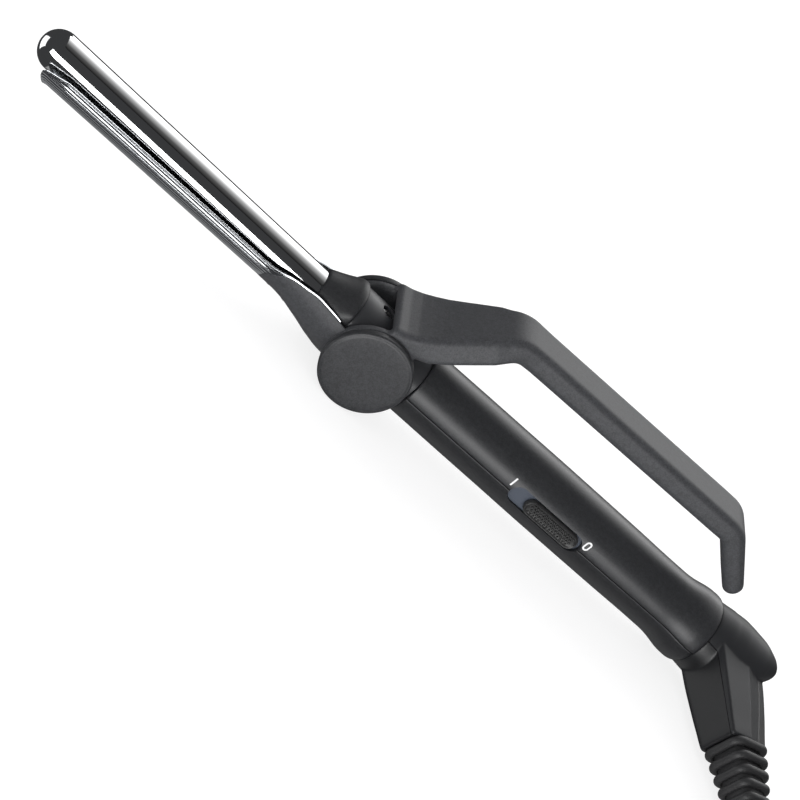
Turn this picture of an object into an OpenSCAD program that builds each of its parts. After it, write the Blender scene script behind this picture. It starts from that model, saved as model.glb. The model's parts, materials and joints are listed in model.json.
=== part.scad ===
// Spring-less curling iron of the scissors kind: a heated barrel on a round handle,
// and a clamp spoon that a bent lever swings about one cross pivot.
// Everything is drawn about the pivot (X to the cord end, Y to the far side, Z up)
// and in_frame() then stands it on the ground under the middle of its box.

/* [Barrel] */
// Outside diameter of the heated barrel
barrel_d = 16; // [14:0.5:16.5]
// Wall of the barrel tube
barrel_wall = 0.9; // [0.6:0.1:1.5]
// Distance from the pivot to the end of the dome
barrel_reach = 169.5; // [140:0.5:180]
// Upward slope of the barrel, in degrees
barrel_tilt = 1.24; // [0.8:0.02:1.6]
// Height of the barrel's axis above the pivot
barrel_rise = 1.8; // [1.4:0.1:2.2]

/* [Handle] */
// Where the handle shells begin behind the pivot
handle_front = 21.3; // [20.8:0.1:22]
// Where the handle shells end
handle_rear = 186.8; // [184:0.2:190]
// Largest diameter of the grip
grip_d = 29.7; // [29:0.1:30.5]
// Diameter of the flare at the rear end
flare_d = 33.2; // [32:0.2:34]
// Wall of the handle shells
shell_wall = 2.4; // [2:0.1:2.8]
// Height of the handle's axis above the pivot
handle_rise = 0.9; // [0.6:0.1:1.2]

/* [Pivot] */
// Diameter of the two round covers, on which the iron stands
disc_d = 36.4; // [36:0.2:37]
// Width over the two covers
pivot_w = 43; // [42.6:0.2:44]
// Thickness of a cover
cap_t = 3.9; // [3.5:0.1:4]
// Diameter of the pivot pins
pin_d = 6; // [5:0.1:6.4]
// Radial play of the pins in their bushes
pin_play = 0.04; // [0.02:0.01:0.08]
// How far the clamp opens, in degrees
open_angle = 15; // [12:1:16]

/* [Lever] */
// Width of the straight bar
lever_w = 21; // [19:0.5:22]
// Thickness of the straight bar
lever_t = 10.4; // [9.5:0.1:11]
// Thickness of the slanting end
lever_end_t = 9.2; // [8.5:0.1:10]

/* [Clamp] */
// Clear radius of the spoon around the barrel
spoon_r = 9.7; // [9.5:0.1:9.9]
// Thickness of the spoon's sheet
spoon_t = 1; // [0.8:0.1:1.1]
// Reach of the spoon's tip from the pivot
spoon_reach = 163; // [155:0.5:164]

/* [Switch] */
// Length of the sliding knob
knob_l = 30.4; // [28:0.2:31]
// Travel of the knob
knob_travel = 6.5; // [4:0.1:7]

/* [Swivel] */
// Where the cord's branch leaves the handle's axis
boot_x = 203.8; // [203:0.1:205]
// Angle between the handle's axis and the cord's branch
boot_angle = 71; // [69:0.5:73]
// Droop of the cord's branch below level, in degrees
boot_droop = 7.4; // [7:0.1:8]

/* [Cord] */
// Diameter of the cord
cord_d = 6.5; // [6:0.1:6.6]
// Diameter of a plug pin
plug_pin_d = 4; // [3.9:0.05:4.1]
// Distance between the plug pins
plug_pitch = 19; // [18:0.5:19]

/* [Hidden] */
$fn = 64;

// the frame: the middle of the iron's box without its cord, on the ground
frame_x = 30.62;
frame_y = -13.10;
ground = disc_d / 2;

// radii and half widths worked out from the driving dimensions
barrel_r = barrel_d / 2;
disc_r = disc_d / 2;
cap_y = pivot_w / 2;
leg_y = cap_y - cap_t;
leg_t = 3.6;
leg_in = leg_y - leg_t;
washer_t = 0.3;
neck_y = leg_in - 0.3 - washer_t;
neck_r = 15.3;
neck_low_r = 13.6;
collar_front = 32.2;
collar_back = 16.9;
collar_front_r = 9;
grip_r = grip_d / 2;
flare_r = flare_d / 2;
inner_r = grip_r - shell_wall;
switch_x = 98.1;
switch_w = 8.8;
knob_gap = 0.95;
switch_l = knob_l + knob_travel + 2 * knob_gap;
bezel_y = 12.2;
seat_x = 172;
spindle_r = 7;
boot_end = 46;
relief_end = 98;

// helpers -----------------------------------------------------------------
module in_frame() {
  translate([-frame_x, -frame_y, ground]) children();
}
// local Z runs along the barrel to its tip
module along_barrel() {
  translate([0, 0, barrel_rise]) rotate([0, barrel_tilt - 90, 0]) children();
}
// local Z runs along the handle to the cord end
module along_handle() {
  translate([0, 0, handle_rise]) rotate([0, 90, 0]) children();
}
// local Z runs to one side: side = -1 is the near side, side = 1 the far side
module across(side) {
  rotate([-90 * side, 0, 0]) children();
}
module disc_ring(r, hole, from, to) {
  translate([0, 0, from]) difference() {
    cylinder(r = r, h = to - from);
    translate([0, 0, -1]) cylinder(r = hole, h = to - from + 2);
  }
}
// a solid through a list of closed loops that have the same number of points
module loft(loops) {
  n = len(loops[0]);
  m = len(loops);
  points = [for (loop = loops) each loop];
  start = [[for (j = [n - 1:-1:0]) j]];
  end = [[for (j = [0:n - 1]) (m - 1) * n + j]];
  sides = [for (i = [0:m - 2], j = [0:n - 1]) let (k = (j + 1) % n)
    each [[i * n + j, i * n + k, (i + 1) * n + k], [i * n + j, (i + 1) * n + k, (i + 1) * n + j]]];
  polyhedron(points = points, faces = concat(start, sides, end), convexity = 8);
}
// quarter-round corners: the outline of a w by t section
function rounded_section(w, t, r, steps = 5) =
  [for (c = [[1, 1, 0], [-1, 1, 90], [-1, -1, 180], [1, -1, 270]], i = [0:steps])
    let (a = c[2] + 90 * i / steps)
    [-c[0] * (w / 2 - r) - r * cos(a), c[1] * (t / 2 - r) + r * sin(a)]];
function mix(a, b, s) = a + (b - a) * s;
// value at x of a list of [x, value] pairs that rise in x
function table(list, x, i = 0) =
  x <= list[0][0] ? list[0][1]
  : i >= len(list) - 1 ? list[len(list) - 1][1]
  : x <= list[i + 1][0] ? mix(list[i][1], list[i + 1][1],
      (x - list[i][0]) / (list[i + 1][0] - list[i][0]))
  : table(list, x, i + 1);

// barrel ------------------------------------------------------------------
barrel_base = 20;
dome_at = barrel_reach - barrel_r;
module barrel_tube() {
  inner = barrel_r - barrel_wall;
  color("silver") in_frame() along_barrel() difference() {
    union() {
      translate([0, 0, barrel_base]) cylinder(r = barrel_r, h = dome_at - barrel_base);
      translate([0, 0, dome_at]) sphere(r = barrel_r);
    }
    translate([0, 0, barrel_base - 1]) cylinder(r = inner, h = dome_at - barrel_base + 1);
    translate([0, 0, dome_at]) sphere(r = inner);
  }
}
carrier_from = 40;
carrier_l = 112;
plate_t = 2.4;
module heat_carrier(side) {
  color("lightgray") in_frame() along_barrel() translate([0, 0, carrier_from])
    intersection() {
      cylinder(r = barrel_r - barrel_wall, h = carrier_l);
      translate([side > 0 ? plate_t / 2 : -20 - plate_t / 2, -10, 0]) cube([20, 20, carrier_l]);
    }
}
module heat_carrier_upper() { heat_carrier(1); }
module heat_carrier_lower() { heat_carrier(-1); }
module heater_plate() {
  color("ivory") in_frame() along_barrel()
    translate([-plate_t / 2, -5, carrier_from + 6]) cube([plate_t, 10, carrier_l - 12]);
}

// collar and neck ---------------------------------------------------------
module collar_profile(back_r) {
  rotate_extrude() polygon([
    [0, collar_back], [back_r, collar_back], [back_r - 0.5, collar_back + 2.2],
    [mix(back_r, collar_front_r, 0.5) + 0.25, mix(collar_back, collar_front, 0.5)],
    [collar_front_r + 0.15, collar_front - 1], [collar_front_r, collar_front], [0, collar_front]]);
}
// full width above the axis, slimmer below it so that the clamp's cup passes
module neck_clip(length) {
  translate([-0.01, -neck_y, -1]) cube([40, 2 * neck_y, length]);
}
module barrel_collar() {
  color([0.2, 0.2, 0.21]) in_frame() along_barrel() difference() {
    intersection() {
      union() {
        collar_profile(neck_low_r);
        intersection() {
          collar_profile(neck_r);
          neck_clip(60);
        }
      }
      translate([-40, -neck_y, 0]) cube([80, 2 * neck_y, 60]);
    }
    translate([0, 0, barrel_base]) cylinder(r = barrel_r, h = 40);
    cylinder(r = 5, h = 40);
  }
}
pin_from = 7.5;
bush_r = 4.5;
neck_hole_x = -5.1;
neck_hole_r = 3.2;
spigot_end = 46;
module neck_core() {
  color([0.36, 0.36, 0.37]) in_frame() difference() {
    union() {
      along_barrel() intersection() {
        union() {
          translate([0, 0, -1]) cylinder(r = neck_low_r, h = collar_back + 1);
          intersection() {
            translate([0, 0, -1]) cylinder(r = neck_r, h = collar_back + 1);
            neck_clip(60);
          }
        }
        translate([-40, -neck_y, -2]) cube([80, 2 * neck_y, 60]);
      }
      along_handle() intersection() {
        rotate_extrude() polygon([[0, 0], [neck_low_r, 0], [13.4, handle_front], [0, handle_front]]);
        translate([-40, -neck_y, 0]) cube([80, 2 * neck_y, 60]);
      }
      along_handle() cylinder(r = inner_r, h = spigot_end);
    }
    along_handle() translate([0, 0, -40]) cylinder(r = 4, h = 100);
    for (side = [-1, 1]) across(side) translate([0, 0, pin_from - 0.4])
      cylinder(r = bush_r, h = 20);
    translate([neck_hole_x, 0, 13]) rotate([0, barrel_tilt, 0]) cylinder(r = neck_hole_r, h = 12);
    translate([neck_hole_x, 0, 4]) cylinder(r = 1.3, h = 12);
    screw_way(screw_x[0]);
  }
}
module neck_screw() {
  color("silver") in_frame() translate([neck_hole_x, 0, 0]) difference() {
    union() {
      translate([0, 0, 13.1]) cylinder(r = 2.7, h = 1.7);
      translate([0, 0, 7]) cylinder(r = 1.3, h = 6.5);
    }
    for (a = [0, 90]) rotate([0, 0, a]) translate([-1.6, -0.3, 13.9]) cube([3.2, 0.6, 2]);
  }
}

// pivot -------------------------------------------------------------------
module pivot_bush(side) {
  color("goldenrod") in_frame() across(side)
    disc_ring(bush_r, pin_d / 2 + pin_play, pin_from, neck_y);
}
module pivot_bush_near() { pivot_bush(-1); }
module pivot_bush_far() { pivot_bush(1); }
module pivot_washer(side) {
  color("lightgray") in_frame() across(side)
    disc_ring(8, bush_r + 0.4, neck_y, neck_y + washer_t);
}
module pivot_washer_near() { pivot_washer(-1); }
module pivot_washer_far() { pivot_washer(1); }
pin_head_r = 4.6;
pin_head_t = 1.8;
module pivot_pin(side) {
  color("silver") in_frame() across(side) {
    translate([0, 0, pin_from + 0.6]) cylinder(d = pin_d, h = leg_y - pin_head_t - pin_from - 0.6);
    translate([0, 0, leg_y - pin_head_t]) cylinder(r = pin_head_r, h = pin_head_t - 0.4);
  }
}
module pivot_pin_near() { pivot_pin(-1); }
module pivot_pin_far() { pivot_pin(1); }
module disc_cap(side) {
  color([0.25, 0.25, 0.26]) in_frame() across(side) rotate_extrude() polygon([
    [0, leg_y], [disc_r, leg_y], [disc_r, cap_y - 1.1], [disc_r - 0.9, cap_y - 0.3],
    [disc_r - 2, cap_y], [0, cap_y]]);
}
module disc_cap_near() { disc_cap(-1); }
module disc_cap_far() { disc_cap(1); }

// lever -------------------------------------------------------------------
bend_one = [36.5, 45.4];
bend_two = [156.1, 47.5];
root_slope = 43.4;
end_slope = -40.5;
end_l = 30.8;
bend_r = 12;
bar_slope = atan2(bend_two[1] - bend_one[1], bend_two[0] - bend_one[0]);
// stations [x, z, slope] round a bend from slope a to slope b
function round_bend(corner, a, b, steps) =
  let (turn = b - a, cut = bend_r * tan(abs(turn) / 2), side = turn > 0 ? 1 : -1,
       cx = corner[0] - cut * cos(a) - side * bend_r * sin(a),
       cz = corner[1] - cut * sin(a) + side * bend_r * cos(a))
  [for (i = [0:steps]) let (s = a + turn * i / steps)
    [cx + side * bend_r * sin(s), cz - side * bend_r * cos(s), s]];
function lever_stations() = concat(
  [for (back = [34, 26, 18, 12])
    [bend_one[0] - back * cos(root_slope), bend_one[1] - back * sin(root_slope), root_slope]],
  round_bend(bend_one, root_slope, bar_slope, 6),
  round_bend(bend_two, bar_slope, end_slope, 7),
  [for (on = [15, end_l - 3, end_l - 1, end_l])
    [bend_two[0] + on * cos(end_slope), bend_two[1] + on * sin(end_slope), end_slope]]);
// width of the bar at x, from the fork to the slanting end
function lever_width(x) = table([[11, 2 * leg_y], [16, 32], [34, 24], [44, lever_w]], x);
function lever_loops() =
  let (stations = lever_stations(), last = len(stations) - 1)
  [for (i = [0:last]) let (
      s = stations[i], tip = i == last ? 0.55 : i == last - 1 ? 0.85 : 1,
      w = lever_width(s[0]) - (i == last ? 8 : i == last - 1 ? 3 : 0),
      t = (i > 11 ? table([[150, lever_t], [166, lever_end_t]], s[0]) : lever_t) * tip)
    [for (p = rounded_section(w, t, min(3, t / 2 - 0.1)))
      [s[0] - p[1] * sin(s[2]), p[0], s[1] + p[1] * cos(s[2])]]];
hood_r = 18.6;
neck_room = 0.35;
// the neck as the opening lever sees it, turned back by an angle
module neck_envelope(angle) {
  rotate([0, angle, 0]) translate([0, 0, barrel_rise]) rotate([0, barrel_tilt, 0])
    translate([-40, 0, 0]) rotate([0, 90, 0]) cylinder(r = neck_r + neck_room, h = 62);
}
module lever_arm() {
  color([0.22, 0.22, 0.23]) in_frame() difference() {
    union() {
      loft(lever_loops());
      // hood over the neck and the cheeks of the fork
      intersection() {
        translate([0, leg_y, 0]) rotate([90, 0, 0]) linear_extrude(2 * leg_y) polygon([
          [-5.2, 12], [-5.2, 20.1], [-4, 21], [0, 21.8], [4, 23.6], [9.3, 27.2], [19, 36.1],
          [25, 29], [18.4, 20.9], [12, 11]]);
        linear_extrude(60) polygon([
          [-10, -leg_y], [13, -leg_y], [26, -13], [26, 13], [13, leg_y], [-10, leg_y]]);
      }
      for (side = [-1, 1]) across(side) translate([0, 0, leg_in]) cylinder(r = disc_r, h = leg_t);
    }
    across(1) translate([0, 0, -leg_in]) cylinder(r = hood_r, h = 2 * leg_in);
    intersection() {
      for (a = [0, open_angle / 2, open_angle]) neck_envelope(a);
      translate([-40, -leg_in, -30]) cube([80, 2 * leg_in, 80]);
    }
    for (side = [-1, 1]) across(side) {
      translate([0, 0, leg_in - 1]) cylinder(d = pin_d, h = leg_t + 2);
      translate([0, 0, leg_y - pin_head_t]) cylinder(r = pin_head_r, h = pin_head_t + 1);
    }
  }
}

// clamp -------------------------------------------------------------------
// radius of the cup's outside and of the sheet that lines it, against the distance from the pivot
cup_out = [[10, 16.8], [14, 16.7], [20, 15.9], [26, 14.6], [32, 13.1], [38, 12], [44, 11.3], [51, 11]];
liner_in = [[10, 15], [14, 14.9], [20, 14.2], [26, 12.9], [32, 11.5], [38, 10.5], [44, 9.9], [51, spoon_r]];
// height of their rims over the clamp's axis
cup_rim = [[8, 3.2], [15, 3.5], [23, 3.7], [30, 3.8], [37, 2.6], [44, 1.5], [51, -3.3]];
rim_step = 0.4;
liner_from = 20;
cup_end = 51;
tip_from = 152;
rivet_at = [36, 45];
rivet_head_r = 2.4;
head_sink = 0.15;
clamp_tilt = barrel_tilt - 0.63;
clamp_rise = barrel_rise + cup_end * (sin(barrel_tilt) - sin(clamp_tilt));
// local Z runs along the clamp to its tip, local X up
module along_clamp() {
  translate([0, 0, clamp_rise]) rotate([0, clamp_tilt - 90, 0]) children();
}
// everything below a rim given as [distance, height] pairs that run to the tip
module below(rim) {
  rotate([90, 0, 0]) translate([0, 0, -30]) linear_extrude(60) polygon(concat(
    [[-40, rim[0][0]]], [for (p = rim) [p[1], p[0]]], [[-40, rim[len(rim) - 1][0]]]));
}
module clamp_cup() {
  color([0.22, 0.22, 0.23]) in_frame() difference() {
    along_clamp() intersection() {
      rotate_extrude() polygon(concat([for (p = cup_out) [p[1], p[0]]],
        [for (i = [len(liner_in) - 1:-1:0]) [liner_in[i][1] + spoon_t, liner_in[i][0]]]));
      below(cup_rim);
    }
    for (side = [-1, 1]) across(side) translate([0, 0, leg_in]) cylinder(r = disc_r, h = 10);
    along_clamp() for (h = rivet_at) translate([0, 0, h]) rotate([0, -90, 0]) cylinder(r = 1.5, h = 20);
  }
}
// the bare spoon's rim is level along the barrel and rounds down at its tip
tip_l = spoon_reach - tip_from;
tip_edge = [[0.2, -1.1], [0.4, -1.7], [0.62, -2.3], [0.8, -2.9], [0.93, -4], [1, -6]];
spoon_edge = concat(
  [for (p = cup_rim) if (p[0] > liner_from && p[0] < cup_end) [p[0], p[1] + rim_step]],
  [[cup_end, -1.6], [58, -0.5], [tip_from, -0.5]],
  [for (p = tip_edge) [tip_from + p[0] * tip_l, p[1]]]);
spoon_line = concat(
  [for (p = liner_in) if (p[0] >= liner_from) p],
  [[spoon_reach - 3, spoon_r], [spoon_reach - 1.5, spoon_r + 0.15], [spoon_reach, spoon_r + 0.5]]);
module clamp_spoon() {
  color("silver") in_frame() along_clamp() difference() {
    intersection() {
      rotate_extrude() polygon(concat([for (p = spoon_line) [p[1] + spoon_t, p[0]]],
        [for (i = [len(spoon_line) - 1:-1:0]) spoon_line[i][1] * [1, 0] + [0, spoon_line[i][0]]]));
      below(spoon_edge);
    }
    for (h = rivet_at) translate([0, 0, h]) rotate([0, -90, 0]) {
      cylinder(r = 1.5, h = 20);
      cylinder(r = rivet_head_r, h = table(liner_in, h) + head_sink);
    }
  }
}
// a rivet through the sheet and the cup, its domed head inside
module spoon_rivet(h) {
  depth = table(liner_in, h);
  color("lightgray") in_frame() along_clamp() translate([0, 0, h]) rotate([0, -90, 0]) {
    translate([0, 0, depth]) cylinder(r = 1.5, h = spoon_t + 1);
    translate([0, 0, depth - 0.6]) cylinder(r = rivet_head_r, h = 0.6 + head_sink);
  }
}
module spoon_rivet_front() { spoon_rivet(rivet_at[1]); }
module spoon_rivet_rear() { spoon_rivet(rivet_at[0]); }

// handle ------------------------------------------------------------------
// outside radius of the handle against x
grip_curve = [[handle_front, grip_r - 0.5], [40, grip_r - 0.35], [70, grip_r - 0.15], [100, grip_r],
  [130, grip_r], [158, grip_r - 0.15], [169, grip_r - 0.1], [173, grip_r + 0.35],
  [177, grip_r + 1.2], [180.5, flare_r - 0.15], [184, flare_r], [handle_rear, flare_r - 0.8]];
rear_wall = 3;
module handle_solid() {
  rotate_extrude() polygon(concat([[0, handle_front]],
    [for (p = grip_curve) [p[1], p[0]]], [[0, handle_rear]]));
}
screw_x = [34, 140];
boss_r = 3.4;
screw_r = 1.3;
head_r = 2.7;
head_z = -7;
module handle_shell(side) {
  difference() {
    intersection() {
      along_handle() difference() {
        handle_solid();
        translate([0, 0, handle_front - 1]) cylinder(r = inner_r, h = handle_rear - rear_wall - handle_front + 1);
        cylinder(r = spindle_r + 1.2, h = 250);
      }
      translate([-10, -30, side > 0 ? handle_rise : handle_rise - 40]) cube([220, 60, 40]);
    }
    switch_window(switch_l, switch_w, 20);
  }
}
// the way for a handle screw: head from below, shank through, thread above
module screw_way(x) {
  translate([x, 0, handle_rise]) {
    translate([0, 0, -20]) cylinder(r = head_r + 0.2, h = 20 + head_z);
    translate([0, 0, head_z - 1]) cylinder(r = screw_r + 0.3, h = 1 - head_z);
    cylinder(r = screw_r, h = 8);
  }
}
// a stadium across the near wall of the handle
module switch_window(l, w, depth) {
  translate([switch_x, 0, handle_rise - 0.3]) rotate([90, 0, 0])
    translate([0, 0, bezel_y - 1.4]) linear_extrude(depth) union() {
      square([l - w, w], center = true);
      for (end = [-1, 1]) translate([end * (l - w) / 2, 0]) circle(d = w);
    }
}
module boss(side) {
  intersection() {
    translate([screw_x[1], 0, side > 0 ? handle_rise : handle_rise - 20]) cylinder(r = boss_r, h = 20);
    along_handle() cylinder(r = inner_r + 0.5, h = 200);
  }
}
module handle_shell_upper() {
  color([0.22, 0.22, 0.23]) in_frame() difference() {
    union() {
      handle_shell(1);
      boss(1);
    }
    screw_way(screw_x[1]);
  }
}
module handle_shell_lower() {
  color([0.17, 0.17, 0.18]) in_frame() difference() {
    union() {
      handle_shell(-1);
      boss(-1);
    }
    for (x = screw_x) screw_way(x);
  }
}
module handle_screw(x) {
  color("silver") in_frame() translate([x, 0, handle_rise]) difference() {
    union() {
      translate([0, 0, head_z - 2]) cylinder(r = head_r, h = 2);
      translate([0, 0, head_z - 0.5]) cylinder(r = screw_r, h = 13.5);
    }
    for (a = [0, 90]) rotate([0, 0, a]) translate([-1.6, -0.3, head_z - 2.5]) cube([3.2, 0.6, 1.4]);
  }
}
module handle_screw_front() { handle_screw(screw_x[0]); }
module handle_screw_rear() { handle_screw(screw_x[1]); }

// switch ------------------------------------------------------------------
knob_w = 7.4;
knob_top = 15.5;
knob_rest = knob_travel / 2;
stem_w = 2.6;
module stadium(l, w, from, to) {
  translate([0, 0, handle_rise - 0.3]) rotate([90, 0, 0]) translate([0, 0, from])
    linear_extrude(to - from) union() {
      square([l - w, w], center = true);
      for (end = [-1, 1]) translate([end * (l - w) / 2, 0]) circle(d = w);
    }
}
module switch_bezel() {
  color([0.3, 0.32, 0.36]) in_frame() translate([switch_x, 0, 0]) difference() {
    stadium(switch_l - 0.2, switch_w - 0.2, bezel_y - 0.5, bezel_y + 0.7);
    stadium(14 + knob_travel, stem_w + 0.8, bezel_y - 2, bezel_y + 2);
  }
}
module switch_knob() {
  color([0.1, 0.1, 0.1]) in_frame() translate([switch_x + knob_rest, 0, 0]) union() {
    stadium(knob_l, knob_w, bezel_y + 1, knob_top);
    translate([-5, -bezel_y - 1.5, handle_rise - 0.3 - stem_w / 2]) cube([10, 4.5, stem_w]);
  }
}
module switch_slider() {
  color("white") in_frame() translate([switch_x + knob_rest - 4, -bezel_y + 3, handle_rise - 2.3])
    cube([8, 2, 4]);
}
module switch_block() {
  color("black") in_frame() difference() {
    translate([switch_x - 13, -bezel_y + 2.7, handle_rise - 4.5]) cube([26, 6.9, 8.4]);
    translate([switch_x - 9, -bezel_y, handle_rise - 2.6]) cube([18, 5.4, 4.6]);
  }
}

// inside the handle --------------------------------------------------------
board_x = 50;
board_l = 64;
board_y = -2.6;
board_t = 1.6;
module circuit_board() {
  top = board_y + board_t;
  color("seagreen") in_frame() translate([board_x, 0, handle_rise]) difference() {
    union() {
      translate([0, board_y, -6]) cube([board_l, board_t, 12]);
      translate([30, top, -3]) cube([10, 5, 6]);
      translate([52, top, 0]) rotate([-90, 0, 0]) cylinder(d = 8, h = 7);
      translate([8, top, -4]) cube([5, 2, 8]);
    }
    for (x = [3, board_l - 3]) translate([x, -5, 4]) rotate([-90, 0, 0]) cylinder(d = 1.6, h = 10);
  }
}
module thermal_fuse() {
  color("gainsboro") in_frame() along_barrel() translate([0, 0, 24]) cylinder(r = 2, h = 12);
}
lead_r = 0.9;
lead_y = 2.8;
module lead(side) {
  color(side > 0 ? "steelblue" : "sienna") in_frame() along_handle()
    translate([0, side * lead_y, -20]) cylinder(r = lead_r, h = board_x + 19);
}
module lead_live() { lead(-1); }
module lead_neutral() { lead(1); }

// swivel ------------------------------------------------------------------
seat_l = 10;
spindle_from = 152;
spindle_to = 197;
module swivel_seat() {
  color("ivory") in_frame() along_handle() disc_ring(inner_r, spindle_r + 0.05, seat_x, seat_x + seat_l);
}
ring_x = [155, 161];
ring_w = 2.4;
module slip_ring(x) {
  color("goldenrod") in_frame() along_handle() disc_ring(spindle_r + 0.6, spindle_r, x, x + ring_w);
}
module slip_ring_live() { slip_ring(ring_x[0]); }
module slip_ring_neutral() { slip_ring(ring_x[1]); }
brush_z = spindle_r + 0.9;
brush_h = 1.6;
module brush_holder() {
  color("ivory") in_frame() intersection() {
    translate([ring_x[0] - 2, -6, handle_rise + brush_z + 0.6]) difference() {
      cube([ring_x[1] - ring_x[0] + ring_w + 4, 12, 8]);
      for (i = [0, 1]) translate([2 + i * (ring_x[1] - ring_x[0]), 3, -1]) cube([ring_w, 6, brush_h + 0.4]);
    }
    along_handle() cylinder(r = inner_r, h = 200);
  }
}
module contact_brush(x) {
  color("goldenrod") in_frame() translate([x, -3, handle_rise + brush_z]) cube([ring_w, 6, brush_h]);
}
module contact_brush_live() { contact_brush(ring_x[0]); }
module contact_brush_neutral() { contact_brush(ring_x[1]); }
module swivel_spindle() {
  color("dimgray") in_frame() along_handle() difference() {
    translate([0, 0, spindle_from]) cylinder(r = spindle_r, h = spindle_to - spindle_from);
    translate([0, 0, spindle_from - 1]) cylinder(r = 4.6, h = 60);
    disc_ring(spindle_r + 1, spindle_r - 1, seat_x - 1.9, seat_x - 0.5);
  }
}
module retaining_clip() {
  color("silver") in_frame() along_handle()
    disc_ring(9.4, spindle_r - 1, seat_x - 1.7, seat_x - 0.7);
}

// elbow -------------------------------------------------------------------
elbow_gap = 0.5;
elbow_front = handle_rear + elbow_gap;
dome_curve = [[elbow_front, 15.2], [elbow_front + 2.6, 15.4], [193, 16.2], [199, 16.7], [204, 16.6],
  [209, 16], [214, 15], [219, 13.6], [223, 11.9], [226.5, 9.4], [229, 6.2], [230.4, 2.8], [230.7, 0]];
// half sizes [s, back, front, low, high] of the cord's branch at s from the axis
boot_sizes = [[-6, 12.6, 12, 12, 12.2], [18, 12.2, 11.6, 11.8, 12], [34, 11.2, 10.2, 10.8, 11],
  [boot_end, 10.4, 9.2, 10, 10.2]];
// local Z runs along the cord's branch, local X to the rear, local Y up
module along_boot() {
  translate([boot_x, 0, handle_rise]) rotate([boot_droop, 0, 0]) rotate([0, 0, 90 - boot_angle])
    rotate([90, 0, 0]) children();
}
function boot_loop(s, back, front, low, high) = [
  [-back + 2, -low, s], [-back, -low + 2, s], [-back, high - 0.8, s], [-back + 0.8, high, s],
  [front * 0.1, high, s], [front - 0.5, high * 0.72, s], [front, high * 0.62, s],
  [front, -low * 0.62, s], [front - 0.5, -low * 0.72, s], [front * 0.1, -low, s]];
module elbow_solid() {
  along_handle() rotate_extrude() polygon(concat([[0, elbow_front]],
    [for (p = dome_curve) [p[1], p[0]]]));
  along_boot() loft([for (b = boot_sizes) boot_loop(b[0], b[1], b[2], b[3], b[4])]);
}
module elbow_hollow() {
  along_handle() translate([0, 0, elbow_front - 1]) cylinder(r = spindle_r, h = spindle_to - elbow_front + 1);
  along_handle() translate([0, 0, spindle_to - 2]) cylinder(r = 6.4, h = 18);
  along_boot() cylinder(r = 6.4, h = boot_end - 9);
  along_boot() translate([0, 0, 20]) cylinder(r = 4.2, h = boot_end);
}
// the parting plane follows the top edge of the branch
module above_parting() {
  along_boot() rotate([2.6, 0, 0]) translate([-100, 7.6, -100]) cube([200, 60, 200]);
}
module elbow_cover() {
  color([0.24, 0.24, 0.25]) in_frame() difference() {
    intersection() {
      elbow_solid();
      above_parting();
    }
    elbow_hollow();
    elbow_screw_way(1.1);
  }
}
module elbow_base() {
  color([0.17, 0.17, 0.18]) in_frame() difference() {
    elbow_solid();
    above_parting();
    elbow_hollow();
    elbow_screw_way(1.5);
    along_boot() translate([8.7, -20, 14]) rotate([-90, 0, 0]) cylinder(r = 2.6, h = 14);
  }
}
module elbow_screw_way(r) {
  along_boot() translate([8.7, -8, 14]) rotate([-90, 0, 0]) cylinder(r = r, h = 18.3);
}
module elbow_screw() {
  color("silver") in_frame() along_boot() translate([8.7, 0, 14]) rotate([-90, 0, 0]) {
    translate([0, 0, -7.8]) cylinder(r = 2.4, h = 1.8);
    translate([0, 0, -6.2]) cylinder(r = 1.1, h = 16.5);
  }
}
module cord_grip() {
  color("dimgray") in_frame() along_boot() disc_ring(6.3, cord_d / 2, 28.5, 36.5);
}
rib_pitch = 5.7;
module strain_relief() {
  color([0.12, 0.12, 0.12]) in_frame() along_boot() difference() {
    union() {
      translate([0, 0, boot_end - 8]) cylinder(r = 4.1, h = 9);
      rotate_extrude() polygon([[0, boot_end], [8.4, boot_end], [4.3, relief_end], [0, relief_end]]);
      for (i = [0:7]) translate([0, 0, boot_end + 1.5 + i * rib_pitch]) cylinder(r = 10.6 - 0.8 * i, h = 3.8);
    }
    cylinder(r = cord_r + 0.1, h = relief_end + 1);
  }
}

// cord --------------------------------------------------------------------
floor_z = -ground;
cord_r = cord_d / 2;
hank_x = 294;
hank_y = -143.25;
hank_z = floor_z + 0.9;
hank_run = 64;
hank_w = 59;
hank_h = 4 * cord_d;
// hand-chosen route of the cord from the strain relief down to the hank
lead_route = [[234.4, -88.1, -10.5], [237.7, -97.5, -11.8], [240, -103.2, -12.5], [243.4, -108.4, -13.1],
  [247.8, -112.4, -13.5], [253, -115.2, -13.8], [258.3, -116.7, -14], [262.5, -117, -14]];
// and from inside the hank up over its end to the plug
tail_route = [[326, -163, -14], [318.5, -161.8, -13.7], [311.5, -158.6, -12], [305, -153.6, -8.2], [298.4, -148.6, -2.4],
  [291.4, -145, 4.9], [284.8, -143.5, 11.6], [278.6, -143.25, 15.2], [272, -143.25, 15.8]];
function unit(v) = v / norm(v);
function heading(route, i) = unit(route[min(i + 1, len(route) - 1)] - route[max(i - 1, 0)]);
function round_loop(route, i, sides) =
  let (d = heading(route, i), u = unit(cross([0, 0, 1], d)), v = cross(d, u))
  [for (j = [0:sides - 1]) let (a = 360 * j / sides)
    route[i] + cord_r * (cos(a) * u - sin(a) * v)];
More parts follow.
